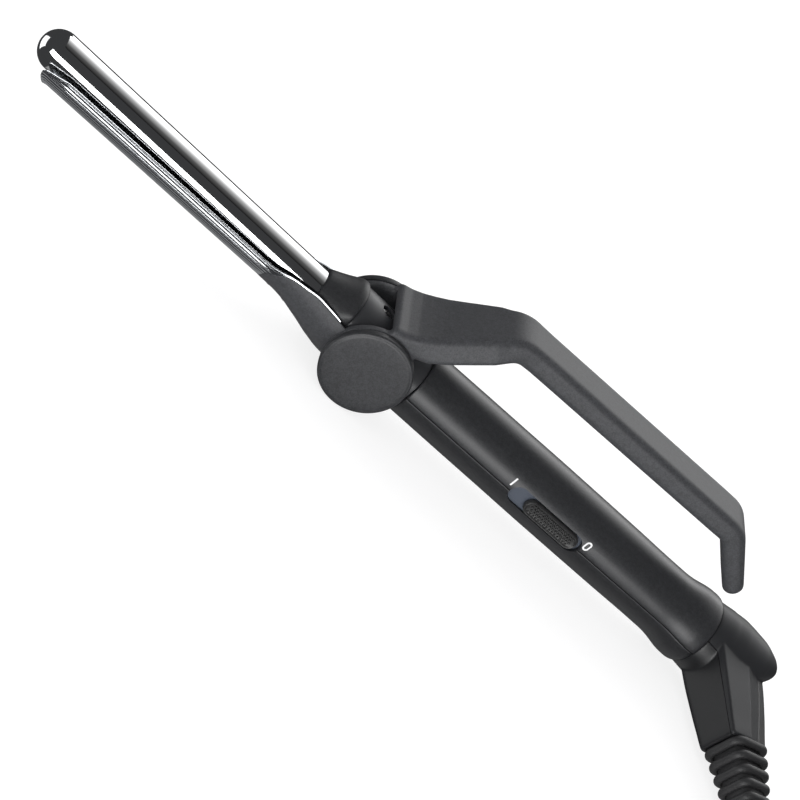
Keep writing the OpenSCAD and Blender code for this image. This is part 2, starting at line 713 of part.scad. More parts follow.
// smooth points between the route's own points
function bend_point(p, i, s) =
  let (a = p[max(i - 1, 0)], b = p[i], c = p[i + 1], d = p[min(i + 2, len(p) - 1)])
  0.5 * (2 * b + (c - a) * s + (2 * a - 5 * b + 4 * c - d) * s * s
    + (3 * b - a - 3 * c + d) * s * s * s);
function smooth(p, steps) = concat(
  [for (i = [0:len(p) - 2], k = [0:steps - 1]) bend_point(p, i, k / steps)], [p[len(p) - 1]]);
module cord_tube(route) {
  fine = smooth(route, 2);
  color([0.08, 0.08, 0.08]) in_frame() loft([for (i = [0:len(fine) - 1]) round_loop(fine, i, 10)]);
}
module power_cord() { cord_tube(lead_route); }
module cord_tail() { cord_tube(tail_route); }
module hank_outline(w) {
  square([hank_run, w], center = true);
  for (end = [-1, 1]) translate([end * hank_run / 2, 0]) circle(d = w);
}
module cord_hank() {
  color([0.08, 0.08, 0.08]) in_frame() translate([hank_x, hank_y, hank_z]) linear_extrude(hank_h)
    difference() {
      hank_outline(hank_w);
      hank_outline(hank_w - 4 * cord_d);
    }
}
tie_x = 300;
tie_w = 12;
tie_t = 0.8;
module cord_tie() {
  color("gray") in_frame() translate([tie_x, hank_y, hank_z]) difference() {
    translate([-tie_w / 2, -hank_w / 2 - tie_t, -tie_t])
      cube([tie_w, hank_w + 2 * tie_t, hank_h + 2 * tie_t]);
    translate([-tie_w, -hank_w / 2, 0]) cube([2 * tie_w, hank_w, hank_h]);
  }
}
plug_l = 34;
plug_neck = 14;
plug_pin_l = 19;
// the part of a pin inside the plug
root_l = 8;
root_d = plug_pin_d - 0.8;
plug_x = 262;
plug_z = hank_z + hank_h + 7.1;
// local Z runs from the cord to the tips of the pins
module along_plug() {
  translate([plug_x, hank_y, plug_z]) rotate([0, -90, 0]) children();
}
module plug_body() {
  color([0.1, 0.1, 0.1]) in_frame() along_plug() {
    translate([0, 0, -plug_neck]) difference() {
      cylinder(r = 4.6, h = plug_neck);
      translate([0, 0, -1]) cylinder(r = cord_r + 0.4, h = plug_neck - 3);
    }
    difference() {
      hull() {
        cylinder(r = 5.4, h = 1, $fn = 32);
        translate([-6.4, -16, 13]) cube([12.8, 32, 1]);
        translate([-6.8, -17.6, plug_l - 1]) cube([13.6, 35.2, 1]);
      }
      for (side = [-1, 1]) translate([0, side * plug_pitch / 2, plug_l - root_l])
        cylinder(d = root_d, h = 20);
    }
  }
}
module plug_pin(side) {
  color("silver") in_frame() along_plug() translate([0, side * plug_pitch / 2, plug_l]) {
    cylinder(d = plug_pin_d, h = plug_pin_l);
    translate([0, 0, -root_l]) cylinder(d = root_d, h = root_l + 1);
  }
}
module plug_pin_live() { plug_pin(-1); }
module plug_pin_neutral() { plug_pin(1); }

barrel_tube();
heat_carrier_upper();
heat_carrier_lower();
heater_plate();
barrel_collar();
neck_core();
neck_screw();
pivot_bush_near();
pivot_bush_far();
pivot_washer_near();
pivot_washer_far();
handle_shell_upper();
handle_shell_lower();
handle_screw_front();
handle_screw_rear();
switch_bezel();
switch_block();
circuit_board();
thermal_fuse();
lead_live();
lead_neutral();
swivel_seat();
brush_holder();
contact_brush_live();
contact_brush_neutral();
lever_arm();
clamp_cup();
clamp_spoon();
disc_cap_near();
disc_cap_far();
pivot_pin_near();
pivot_pin_far();
spoon_rivet_front();
spoon_rivet_rear();
switch_knob();
switch_slider();
swivel_spindle();
slip_ring_live();
slip_ring_neutral();
retaining_clip();
elbow_cover();
elbow_base();
elbow_screw();
cord_grip();
strain_relief();
power_cord();
cord_hank();
cord_tie();
cord_tail();
plug_body();
plug_pin_live();
plug_pin_neutral();
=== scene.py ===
import math
import json

import bmesh
import bpy
from bpy.props import (
    FloatProperty, FloatVectorProperty, IntProperty, PointerProperty)
from mathutils import Matrix, Vector


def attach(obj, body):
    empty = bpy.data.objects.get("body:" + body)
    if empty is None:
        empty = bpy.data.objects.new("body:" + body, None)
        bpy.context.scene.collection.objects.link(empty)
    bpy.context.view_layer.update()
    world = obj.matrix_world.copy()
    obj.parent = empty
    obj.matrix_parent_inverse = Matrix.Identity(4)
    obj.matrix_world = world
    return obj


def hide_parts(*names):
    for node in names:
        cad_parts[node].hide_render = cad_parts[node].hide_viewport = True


bl_info = {
    "name": "Curling iron",
    "version": (1, 0, 0),
    "blender": (4, 5, 0),
    "location": "View3D > Sidebar > Iron",
    "description": "Builds a curling iron with a clamp spoon, a bent lever and a swivel cord",
    "category": "Object",
}

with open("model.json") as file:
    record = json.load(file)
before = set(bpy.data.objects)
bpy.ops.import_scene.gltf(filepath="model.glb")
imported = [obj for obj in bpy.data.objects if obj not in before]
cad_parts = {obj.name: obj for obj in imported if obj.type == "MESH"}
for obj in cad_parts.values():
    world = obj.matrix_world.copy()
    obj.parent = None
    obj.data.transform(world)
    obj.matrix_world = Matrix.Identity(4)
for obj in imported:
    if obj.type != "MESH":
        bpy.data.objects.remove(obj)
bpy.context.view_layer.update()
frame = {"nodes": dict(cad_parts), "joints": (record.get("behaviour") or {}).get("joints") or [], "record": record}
JOINTS = {j["name"]: j for j in frame["joints"]}
PIVOT = Vector(JOINTS["clamp_pivot"]["pos_m"])
MM = 0.001
# points nearer than this are one point, in metres
WELD, GROWN_WELD, SLIVER = 1e-7, 2e-7, 1e-8

# heights and slopes of the three axes, in millimetres and degrees about the pivot
BARREL_RISE, BARREL_TILT = 1.8, 1.24
HANDLE_RISE = 0.9
CLAMP_TILT = 0.61
CUP_END = 51
CLAMP_RISE = BARREL_RISE + CUP_END * (
    math.sin(math.radians(BARREL_TILT)) - math.sin(math.radians(CLAMP_TILT)))
NECK_HALF = 13.3
DISC_R = 18.2


# ---------------------------------------------------------------- places
def axes_matrix(origin, along, up):
    """Local Z along, local X up, local Y to one side."""
    z = Vector(along).normalized()
    x = (Vector(up) - Vector(up).dot(z) * z).normalized()
    y = z.cross(x)
    m = Matrix((x, y, z)).transposed().to_4x4()
    m.translation = Vector(origin)
    return m


def to_tip(rise, tilt):
    t = math.radians(tilt)
    return axes_matrix((0, 0, rise), (-math.cos(t), 0, math.sin(t)), (0, 0, 1))


BARREL = to_tip(BARREL_RISE, BARREL_TILT)
CLAMP = to_tip(CLAMP_RISE, CLAMP_TILT)
HANDLE = axes_matrix((0, 0, HANDLE_RISE), (1, 0, 0), (0, 0, 1))
BOOT_X = 203.8
BOOT = (Matrix.Translation((BOOT_X, 0, HANDLE_RISE)) @ Matrix.Rotation(math.radians(7.4), 4, "X")
        @ Matrix.Rotation(math.radians(19), 4, "Z") @ Matrix.Rotation(math.radians(90), 4, "X"))
IDENTITY = Matrix.Identity(4)


def table(pairs, x):
    """Value at x of [x, value] pairs that rise in x, straight between them."""
    if x <= pairs[0][0]:
        return pairs[0][1]
    for (a, va), (b, vb) in zip(pairs, pairs[1:]):
        if x <= b:
            return va + (vb - va) * (x - a) / (b - a)
    return pairs[-1][1]


def curve(pairs, x):
    """Value at x of the same kind of pairs, on a smooth line through them."""
    n = len(pairs)
    if x <= pairs[0][0]:
        return pairs[0][1]
    if x >= pairs[-1][0]:
        return pairs[-1][1]
    i = max(k for k in range(n - 1) if pairs[k][0] <= x)

    def slope(k):
        if k in (0, n - 1):
            return 0.0 if n < 3 else (
                (pairs[1][1] - pairs[0][1]) / (pairs[1][0] - pairs[0][0]) if k == 0
                else (pairs[-1][1] - pairs[-2][1]) / (pairs[-1][0] - pairs[-2][0]))
        before = (pairs[k][1] - pairs[k - 1][1]) / (pairs[k][0] - pairs[k - 1][0])
        after = (pairs[k + 1][1] - pairs[k][1]) / (pairs[k + 1][0] - pairs[k][0])
        if before * after <= 0:
            return 0.0
        return 2 * before * after / (before + after)

    a, b = pairs[i], pairs[i + 1]
    h = b[0] - a[0]
    t = (x - a[0]) / h
    return ((2 * t ** 3 - 3 * t ** 2 + 1) * a[1] + (t ** 3 - 2 * t ** 2 + t) * h * slope(i)
            + (3 * t ** 2 - 2 * t ** 3) * b[1] + (t ** 3 - t ** 2) * h * slope(i + 1))


def ease(t):
    t = min(1.0, max(0.0, t))
    return t * t * (3 - 2 * t)


def spread(a, b, n):
    return [a + (b - a) * i / (n - 1) for i in range(n)]


# ---------------------------------------------------------------- meshes
class Shape:
    """Points in millimetres about the pivot, and faces, gathered before a mesh is made of them."""

    def __init__(self):
        self.points = []
        self.faces = []

    def add(self, points, faces, place=IDENTITY):
        first = len(self.points)
        self.points += [place @ Vector(p) for p in points]
        self.faces += [tuple(first + i for i in f) for f in faces]
        return self

    def loft(self, loops, place=IDENTITY):
        """A closed solid through loops of as many points each, its ends closed by fans."""
        n, m = len(loops[0]), len(loops)
        points = [p for loop in loops for p in loop]
        faces = [(i * n + j, i * n + (j + 1) % n, (i + 1) * n + (j + 1) % n, (i + 1) * n + j)
                 for i in range(m - 1) for j in range(n)]
        for row in (0, m - 1):
            points.append([sum(p[k] for p in loops[row]) / n for k in range(3)])
            faces += [(row * n + j, row * n + (j + 1) % n, len(points) - 1) for j in range(n)]
        return self.add(points, faces, place)

    def slab(self, outer, inner, place=IDENTITY, round_about=False):
        """A wall between two grids of points. round_about joins each row's ends."""
        m, n = len(outer), len(outer[0])
        points = [p for row in outer for p in row] + [p for row in inner for p in row]
        low = m * n
        last = n if round_about else n - 1
        faces = []
        for i in range(m - 1):
            for j in range(last):
                a, b = i * n + j, i * n + (j + 1) % n
                c, d = (i + 1) * n + (j + 1) % n, (i + 1) * n + j
                faces += [(a, b, c, d), (low + d, low + c, low + b, low + a)]
        for i in (0, m - 1):
            faces += [(i * n + j, i * n + (j + 1) % n, low + i * n + (j + 1) % n, low + i * n + j)
                      for j in range(last)]
        if not round_about:
            for j in (0, n - 1):
                faces += [(i * n + j, (i + 1) * n + j, low + (i + 1) * n + j, low + i * n + j)
                          for i in range(m - 1)]
        return self.add(points, faces, place)

    def turned(self, profile, place=IDENTITY, sides=96):
        """A solid of revolution about local Z through (radius, height) pairs."""
        loops = [[(r * math.cos(2 * math.pi * j / sides), r * math.sin(2 * math.pi * j / sides), h)
                  for j in range(sides)] for r, h in profile]
        return self.loft(loops, place)

    def mesh(self, name):
        data = bpy.data.meshes.new(name)
        data.from_pydata([PIVOT + p * MM for p in self.points], [], self.faces)
        work = bmesh.new()
        work.from_mesh(data)
        bmesh.ops.remove_doubles(work, verts=work.verts, dist=WELD)
        bmesh.ops.dissolve_degenerate(work, edges=work.edges, dist=SLIVER)
        bmesh.ops.recalc_face_normals(work, faces=work.faces)
        work.to_mesh(data)
        work.free()
        return data

    def thing(self, name):
        made = bpy.data.objects.new(name, self.mesh(name))
        bpy.context.scene.collection.objects.link(made)
        return made


def rounded(w, t, r, steps=6):
    """Outline of a w by t section with round corners, as (across, up) pairs."""
    out = []
    for sx, sy, start in ((1, 1, 0), (-1, 1, 90), (-1, -1, 180), (1, -1, 270)):
        for i in range(steps + 1):
            a = math.radians(start + 90 * i / steps)
            out.append((sx * (w / 2 - r) + r * math.cos(a), sy * (t / 2 - r) + r * math.sin(a)))
    return out


def squarish(size, power, count=64):
    """A square with full sides and soft corners, of half width size."""
    out = []
    for i in range(count):
        a = 2 * math.pi * i / count
        c, s = math.cos(a), math.sin(a)
        k = size / (abs(c) ** power + abs(s) ** power) ** (1 / power)
        out.append((k * c, k * s))
    return out


def plain(made):
    """Turns live modifiers into plain mesh."""
    graph = bpy.context.evaluated_depsgraph_get()
    data = bpy.data.meshes.new_from_object(made.evaluated_get(graph))
    old = made.data
    made.modifiers.clear()
    made.data = data
    data.name = made.name
    bpy.data.meshes.remove(old)
    return made


def joined(target, *others):
    """One mesh of several, kept under the first one's name."""
    work = bmesh.new()
    for made in (target, *others):
        work.from_mesh(made.data)
    work.to_mesh(target.data)
    work.free()
    for made in others:
        drop(made)
    return target


def drop(made):
    data = made.data
    bpy.data.objects.remove(made)
    bpy.data.meshes.remove(data)


def carved(made, *cutters):
    """Takes each cutter out of a piece, and drops the cutter."""
    for cutter in cutters:
        step = made.modifiers.new("cut", "BOOLEAN")
        step.operation, step.solver, step.object = "DIFFERENCE", "EXACT", cutter
        plain(made)
        drop(cutter)
    return made


def fused(made, voxel, passes):
    """One skin over all the shells of a piece, with its inner corners run soft."""
    step = made.modifiers.new("skin", "REMESH")
    step.mode, step.voxel_size = "VOXEL", voxel * MM
    soft = made.modifiers.new("soft", "SMOOTH")
    soft.factor, soft.iterations = 0.5, passes
    return plain(made)


def soft_edges(made, width, angle):
    """Bevels the edges that are sharper than an angle."""
    step = made.modifiers.new("edges", "BEVEL")
    step.width, step.segments = width * MM, 2
    step.limit_method, step.angle_limit = "ANGLE", math.radians(angle)
    return plain(made)


def finish_piece(made, body, finish, replaces=(), angle=38):
    """Smooths a finished piece, gives it its material and hangs it on its body."""
    made.data.materials.clear()
    made.data.materials.append(finish)
    made.data.shade_smooth()
    made.data.set_sharp_from_angle(angle=math.radians(angle))
    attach(made, body)
    if replaces:
        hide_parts(*replaces)
    return made


# ---------------------------------------------------------------- shader maths
class Wire:
    """A socket on which sums can be written."""

    def __init__(self, paint, socket):
        self.paint, self.socket = paint, socket

    def _math(self, how, a, b):
        return self.paint.node("ShaderNodeMath", {"operation": how}, {0: a, 1: b})

    def __add__(self, other):
        return self._math("ADD", self, other)

    def __sub__(self, other):
        return self._math("SUBTRACT", self, other)

    def __rsub__(self, other):
        return self._math("SUBTRACT", other, self)

    def __mul__(self, other):
        return self._math("MULTIPLY", self, other)

    __radd__, __rmul__ = __add__, __mul__


# a colour Mix node's sockets by number
MIX_FACTOR, MIX_A, MIX_B, MIX_RESULT = 0, 6, 7, 2


class Paint:
    """One material and its tree."""

    def __init__(self, name):
        self.material = bpy.data.materials.new(name)
        self.material.use_nodes = True
        self.tree = self.material.node_tree
        self.tree.nodes.clear()

    def node(self, kind, settings=None, inputs=None, out=0):
        made = self.tree.nodes.new(kind)
        for key, value in (settings or {}).items():
            if key == "stops":
                ramp = made.color_ramp
                while len(ramp.elements) < len(value):
                    ramp.elements.new(0.5)
                for stop, (place, level) in zip(ramp.elements, value):
                    stop.position = place
                    stop.color = (level, level, level, 1)
            else:
                setattr(made, key, value)
        for key, value in (inputs or {}).items():
            if isinstance(value, Wire):
                self.tree.links.new(value.socket, made.inputs[key])
            else:
                made.inputs[key].default_value = value
        return Wire(self, made.outputs[out]) if len(made.outputs) else None

    def coordinates(self):
        return self.node("ShaderNodeTexCoord", out="Object")

    def stretched(self, scale):
        return self.node("ShaderNodeMapping", {}, {"Vector": self.coordinates(), "Scale": scale})

    def noise(self, scale, detail, vector=None):
        return self.node("ShaderNodeTexNoise", {}, {
            "Vector": vector or self.coordinates(), "Scale": scale, "Detail": detail})

    def ramp(self, value, *stops):
        return self.node("ShaderNodeValToRGB", {"stops": stops}, {"Fac": value})

    def colours(self, factor, dark, light):
        return self.node("ShaderNodeMix", {"data_type": "RGBA"}, {
            MIX_FACTOR: factor, MIX_A: (*dark, 1), MIX_B: (*light, 1)}, out=MIX_RESULT)

    def bump(self, height, strength, distance):
        return self.node("ShaderNodeBump", {}, {
            "Height": height, "Strength": strength, "Distance": distance * MM})

    def done(self, **sockets):
        """Closes the tree. Sockets are named with underscores in place of spaces."""
        inputs = {key.replace("_", " "): value for key, value in sockets.items()}
        if not isinstance(inputs["Base Color"], Wire):
            inputs["Base Color"] = (*inputs["Base Color"], 1)
        shader = self.node("ShaderNodeBsdfPrincipled", {}, inputs)
        self.node("ShaderNodeOutputMaterial", {}, {"Surface": shader})
        return self.material


def grained_plastic(name, dark, light, roughness, grain, relief):
    """Moulded plastic with a fine leathery grain and faint larger clouds."""
    p = Paint(name)
    fine = p.noise(grain, 2.0)
    coarse = p.noise(grain * 0.37, 3.0)
    clouds = p.noise(60, 3.0)
    mask = p.ramp(fine * 0.65 + coarse * 0.35, (0.36, 0.0), (0.64, 1.0))
    tone = p.colours(mask * 0.8 + clouds * 0.2, dark, light)
    rough = roughness - 0.05 + mask * 0.07 + clouds * 0.04
    return p.done(Base_Color=tone, Roughness=rough,
                  Normal=p.bump(fine * 0.6 + coarse * 0.5, relief, 0.06))


def smooth_plastic(name, dark, light, roughness, shine=0.5):
    """Satin plastic with a faint haze."""
    p = Paint(name)
    haze = p.noise(45, 4.0)
    specks = p.noise(2600, 1.0)
    tone = p.colours(haze, dark, light)
    return p.done(Base_Color=tone, Specular_IOR_Level=shine,
                  Roughness=roughness + haze * 0.06 + specks * 0.03,
                  Normal=p.bump(specks, 0.06, 0.02))


def polished(name, dark, light, roughness, streak=(20, 900, 900), relief=0.004, wear=0.03):
    """Plated metal with faint polishing streaks along the iron."""
    p = Paint(name)
    lines = p.noise(1.0, 3.0, p.stretched(streak))
    haze = p.noise(30, 3.0)
    tone = p.colours(haze, dark, light)
    return p.done(Base_Color=tone, Metallic=1.0,
                  Roughness=roughness + lines * wear + haze * 0.01,
                  Normal=p.bump(lines, relief, 0.01))


def soft_rubber(name, dark, light, roughness):
    """Matt rubber with a little dust."""
    p = Paint(name)
    dust = p.noise(900, 4.0)
    patches = p.noise(35, 2.0)
    tone = p.colours(dust * 0.5 + patches * 0.5, dark, light)
    return p.done(Base_Color=tone, Roughness=roughness + dust * 0.08,
                  Normal=p.bump(dust, 0.2, 0.03))


FINISHES = {}


def finish(name):
    return FINISHES[name]


def make_finishes(context):
    colours = context.scene.iron_finishes
    grain = colours.grain

    def black(k):
        """The mouldings' black, k times as bright."""
        return tuple(v * k for v in colours.plastic)

    recipes = (
        (polished, "barrel_chrome", (0.80, 0.81, 0.82), (0.88, 0.88, 0.88), 0.045),
        (polished, "spoon_chrome", (0.60, 0.62, 0.65), (0.74, 0.76, 0.78), 0.16,
         (15, 1500, 1500), 0.03, 0.1),
        # the two handle shells are one black plastic; shell_lower carries painted shade: its colours are darker
        # than shell_upper's because the lower shell faces down
        (grained_plastic, "shell_upper", black(1.0), black(2.0), 0.36, grain, 0.22),
        (grained_plastic, "shell_lower", black(0.6), black(1.4), 0.42, grain, 0.3),
        (grained_plastic, "lever_plastic", black(1.6), black(3.8), 0.54, grain, 0.35),
        (grained_plastic, "disc_plastic", black(0.9), black(2.4), 0.45, grain * 1.1, 0.3),
        (smooth_plastic, "neck_plastic", black(1.5), black(2.5), 0.36),
        (grained_plastic, "collar_plastic", black(0.8), black(1.8), 0.44, grain * 1.2, 0.3),
        # the elbow's cover and base are one black plastic; elbow_lower carries painted shade: its colours are
        # darker than elbow_upper's because the base lies below and faces down
        (smooth_plastic, "elbow_upper", black(1.0), black(1.6), 0.4, 0.28),
        (smooth_plastic, "elbow_lower", black(0.6), black(1.0), 0.38),
        (smooth_plastic, "bezel_plastic", tuple(colours.bezel),
         tuple(v * 1.3 for v in colours.bezel), 0.45),
        (grained_plastic, "knob_plastic", (0.012, 0.012, 0.012), (0.04, 0.04, 0.04), 0.4,
         grain, 0.2),
        (smooth_plastic, "white_print", (0.78, 0.78, 0.78), (0.86, 0.86, 0.86), 0.5),
        (soft_rubber, "relief_rubber", (0.014, 0.014, 0.015), (0.034, 0.034, 0.035), 0.5),
        (soft_rubber, "cord_rubber", (0.012, 0.012, 0.013), (0.026, 0.026, 0.027), 0.45),
        (soft_rubber, "plug_rubber", (0.013, 0.013, 0.014), (0.03, 0.03, 0.031), 0.42),
        (soft_rubber, "tie_grey", (0.16, 0.16, 0.17), (0.27, 0.27, 0.28), 0.7),
        (polished, "steel", (0.5, 0.5, 0.5), (0.66, 0.66, 0.65), 0.28, (400, 400, 400), 0.1, 0.1),
        (polished, "pin_nickel", (0.6, 0.57, 0.5), (0.72, 0.69, 0.62), 0.2, (400, 400, 400),
         0.05, 0.08),
        (polished, "brass", (0.6, 0.42, 0.16), (0.78, 0.58, 0.26), 0.25, (300, 300, 300),
         0.05, 0.1),
        (polished, "cast_aluminium", (0.5, 0.5, 0.5), (0.64, 0.64, 0.64), 0.45,
         (500, 500, 500), 0.3, 0.1),
        (smooth_plastic, "ceramic", (0.74, 0.7, 0.6), (0.84, 0.8, 0.7), 0.6),
        (smooth_plastic, "switch_black", (0.015, 0.015, 0.015), (0.03, 0.03, 0.03), 0.5),
        (smooth_plastic, "board_green", (0.02, 0.15, 0.06), (0.04, 0.24, 0.1), 0.35),
        (soft_rubber, "lead_brown", (0.14, 0.06, 0.02), (0.2, 0.09, 0.04), 0.5),
        (soft_rubber, "lead_blue", (0.03, 0.1, 0.35), (0.05, 0.16, 0.45), 0.5),
        (smooth_plastic, "acetal", (0.7, 0.69, 0.64), (0.8, 0.79, 0.74), 0.4),
    )
    for recipe, name, *values in recipes:
        FINISHES[name] = recipe(name, *values)


# ---------------------------------------------------------------- sizes
class IronSizes(bpy.types.PropertyGroup):
    """Sizes that the maker may change, in the frame's own scale."""
    barrel_radius: FloatProperty(
        name="Barrel radius", description="Outside radius of the heated barrel",
        default=0.008, min=0.006, max=0.0085, unit="LENGTH", precision=4)
    sheet: FloatProperty(
        name="Spoon sheet", description="Thickness of the spoon's sheet",
        default=0.001, min=0.0006, max=0.0012, unit="LENGTH", precision=4)
    ridge_count: IntProperty(
        name="Spoon ridges", description="Lengthwise ridges round the spoon's outside",
        default=26, min=0, max=60)
    ridge_depth: FloatProperty(
        name="Ridge depth", description="Depth of those ridges",
        default=0.0002, min=0.0, max=0.0004, unit="LENGTH", precision=5)
    rib_pitch: FloatProperty(
        name="Rib pitch", description="Distance between the ribs of the strain relief",
        default=0.0057, min=0.004, max=0.008, unit="LENGTH", precision=4)
    ribs: IntProperty(
        name="Ribs", description="Number of ribs on the strain relief", default=9, min=4, max=12)
    cord_diameter: FloatProperty(
        name="Cord diameter", description="Diameter of the cord",
        default=0.0065, min=0.005, max=0.008, unit="LENGTH", precision=4)


class IronFinishes(bpy.types.PropertyGroup):
    """Colours and grain of the plastics."""
    plastic: FloatVectorProperty(
        name="Plastic", description="Colour of the black mouldings", subtype="COLOR",
        default=(0.016, 0.0165, 0.018), min=0, max=1)
    bezel: FloatVectorProperty(
        name="Switch bed", description="Colour of the bed under the switch", subtype="COLOR",
        default=(0.05, 0.06, 0.08), min=0, max=1)
    grain: FloatProperty(
        name="Grain", description="Cells of the moulded grain to a metre",
        default=1900, min=500, max=6000)


# ---------------------------------------------------------------- the stage
CAMERA_PLACE = (-301.8, -751.7, 393.0)
CAMERA_RIGHT = (0.70113333, 0.07392035, 0.70918815)
CAMERA_UP = (-0.61604261, 0.56361585, 0.55029871)
CAMERA_LENS = 106.32
FLOOR_HALF = 6.0
# what matt faces and what shiny faces see of the world
WORLD_LIT, WORLD_MIRRORED = (1.0, 1.0, 1.02, 1), (0.045, 0.046, 0.048, 1)
CARD_TARGET = (0.0, 0.0, 0.03)
# name, place, size, light at heights up the card, and whether it lights matt faces too
CARDS = (
    ("top_card", (0.6, 0.3, 1.3), (1.9, 2.7),
     ((0.0, 0.0), (0.3, 0.1), (0.52, 0.5), (0.74, 1.6), (1.0, 3.8)), True),
    ("back_card", (0.85, 1.9, 0.9), (1.7, 0.9), ((0.0, 3.6), (0.5, 3.0), (1.0, 1.2)), True),
    ("front_card", (-0.15, -1.3, -0.04), (2.2, 0.62), ((0.0, 5.4), (0.5, 5.8), (1.0, 5.2)), True),
    ("under_card", (0.7, 0.1, -0.8), (1.9, 1.3),
     ((0.0, 0.0), (0.3, 0.28), (0.8, 0.36), (1.0, 0.1)), False),
    ("window_card", (-1.25, 0.46, -0.38), (0.95, 0.85), ((0.0, 1.4), (1.0, 1.6)), False),
)


class IRON_OT_stage(bpy.types.Operator):
    """Sets the floor, the lights and the camera"""
    bl_idname = "iron.stage"
    bl_label = "Stage"

    def card(self, name, place, size, levels, lit):
        """A shining card whose light changes from its lower edge to its upper one."""
        w, h = size[0] / 2, size[1] / 2
        data = bpy.data.meshes.new(name)
        turn = facing(place, CARD_TARGET)
        data.from_pydata([turn @ Vector(p) for p in (
            (-w, -h, 0), (w, -h, 0), (w, h, 0), (-w, h, 0))], [], [(0, 1, 2, 3)])
        data.uv_layers.new(name="card").uv.foreach_set("vector", (0, 0, 1, 0, 1, 1, 0, 1))
        p = Paint(name)
        across = p.node("ShaderNodeSeparateXYZ", {}, {
            0: p.node("ShaderNodeUVMap", {"uv_map": "card"})}, out=1)
        data.materials.append(p.done(
            Base_Color=(0, 0, 0), Roughness=1.0, Emission_Color=p.ramp(across, *levels),
            Emission_Strength=1.0))
        made = bpy.data.objects.new(name, data)
        bpy.context.scene.collection.objects.link(made)
        made.visible_camera = False
        made.visible_shadow = False
        made.visible_diffuse = lit

    def execute(self, context):
        scene = context.scene
        data = bpy.data.cameras.new("camera")
        data.lens, data.sensor_width = CAMERA_LENS, 36
        data.clip_start, data.clip_end = 0.01, 50
        camera = bpy.data.objects.new("camera", data)
        right, up = Vector(CAMERA_RIGHT), Vector(CAMERA_UP)
        turn = Matrix((right, up, right.cross(up))).transposed().to_4x4()
        camera.matrix_world = Matrix.Translation(PIVOT + Vector(CAMERA_PLACE) * MM) @ turn
        scene.collection.objects.link(camera)
        scene.camera = camera

        ground = bpy.data.meshes.new("floor")
        ground.from_pydata([(x * FLOOR_HALF, y * FLOOR_HALF, 0) for x, y in (
            (-1, -1), (1, -1), (1, 1), (-1, 1))], [], [(0, 1, 2, 3)])
        floor = bpy.data.objects.new("floor", ground)
        p = Paint("pale_floor")
        ground.materials.append(p.done(
            Base_Color=(0.3, 0.3, 0.3), Roughness=0.9,
            Emission_Color=(1, 1, 1, 1), Emission_Strength=0.8))
        scene.collection.objects.link(floor)
        floor.visible_glossy = False

        world = bpy.data.worlds.new("studio")
        world.use_nodes = True
        tree = world.node_tree
        tree.nodes.clear()
        path = tree.nodes.new("ShaderNodeLightPath")
        mix = tree.nodes.new("ShaderNodeMix")
        mix.data_type = "RGBA"
        mix.inputs[MIX_A].default_value = WORLD_LIT
        mix.inputs[MIX_B].default_value = WORLD_MIRRORED
        tree.links.new(path.outputs["Is Glossy Ray"], mix.inputs[MIX_FACTOR])
        back = tree.nodes.new("ShaderNodeBackground")
        tree.links.new(mix.outputs[MIX_RESULT], back.inputs["Color"])
        out = tree.nodes.new("ShaderNodeOutputWorld")
        tree.links.new(back.outputs[0], out.inputs["Surface"])
        scene.world = world
        scene.view_settings.view_transform = "Standard"
        scene.view_settings.look = "None"

        for card in CARDS:
            self.card(*card)
        return {"FINISHED"}


def facing(place, target):
    """Local Z points from a place to its target, local Y as near up as can be."""
    place, target = Vector(place), Vector(target)
    ahead = (target - place).normalized()
    side = Vector((-1, 0, 0)) if ahead.y < 0 else Vector((1, 0, 0))
    side = (side - side.dot(ahead) * ahead).normalized()
    turn = Matrix((side, ahead.cross(side), ahead)).transposed().to_4x4()
    return Matrix.Translation(place) @ turn


# ---------------------------------------------------------------- the cord
CORD_R = 3.25
FLOOR_Z = -DISC_R
HANK = {"x": 294.0, "y": -143.25, "z": FLOOR_Z + 0.9, "run": 64.0, "outer": 26.25, "inner": 19.75}
LEAD = [(234.4, -88.1, -10.5), (237.7, -97.5, -11.8), (240, -103.2, -12.5), (243.4, -108.4, -13.1),
        (247.8, -112.4, -13.5), (253, -115.2, -13.8), (258.3, -116.7, -14), (262, -117, -14)]
TAIL = [(326, -163, -14), (318.5, -161.8, -13.7), (311.5, -158.6, -12), (305, -153.6, -8.2),
        (298.4, -148.6, -2.4), (291.4, -145, 4.9), (284.8, -143.5, 11.6), (278.6, -143.25, 15.2),
        (272, -143.25, 15.8)]
ROUTE_STEP = 3
HANK_LAYERS = 4
RUN_STEPS, FOLD_STEPS = 9, 17
CORD_SIDES = 14
RELIEF_START, RELIEF_END = 44.5, 98


def through(points, step):
    """Points on a smooth line through a route, about a step apart."""
    p = [Vector(q) for q in points]
    out = []
    for i in range(len(p) - 1):
        a, b, c, d = p[max(i - 1, 0)], p[i], p[i + 1], p[min(i + 2, len(p) - 1)]
        n = max(1, round((c - b).length / step))
        for k in range(n):
            s = k / n
            out.append(0.5 * (2 * b + (c - a) * s + (2 * a - 5 * b + 4 * c - d) * s * s
                              + (3 * b - a - 3 * c + d) * s ** 3))
    out.append(p[-1])
    return out


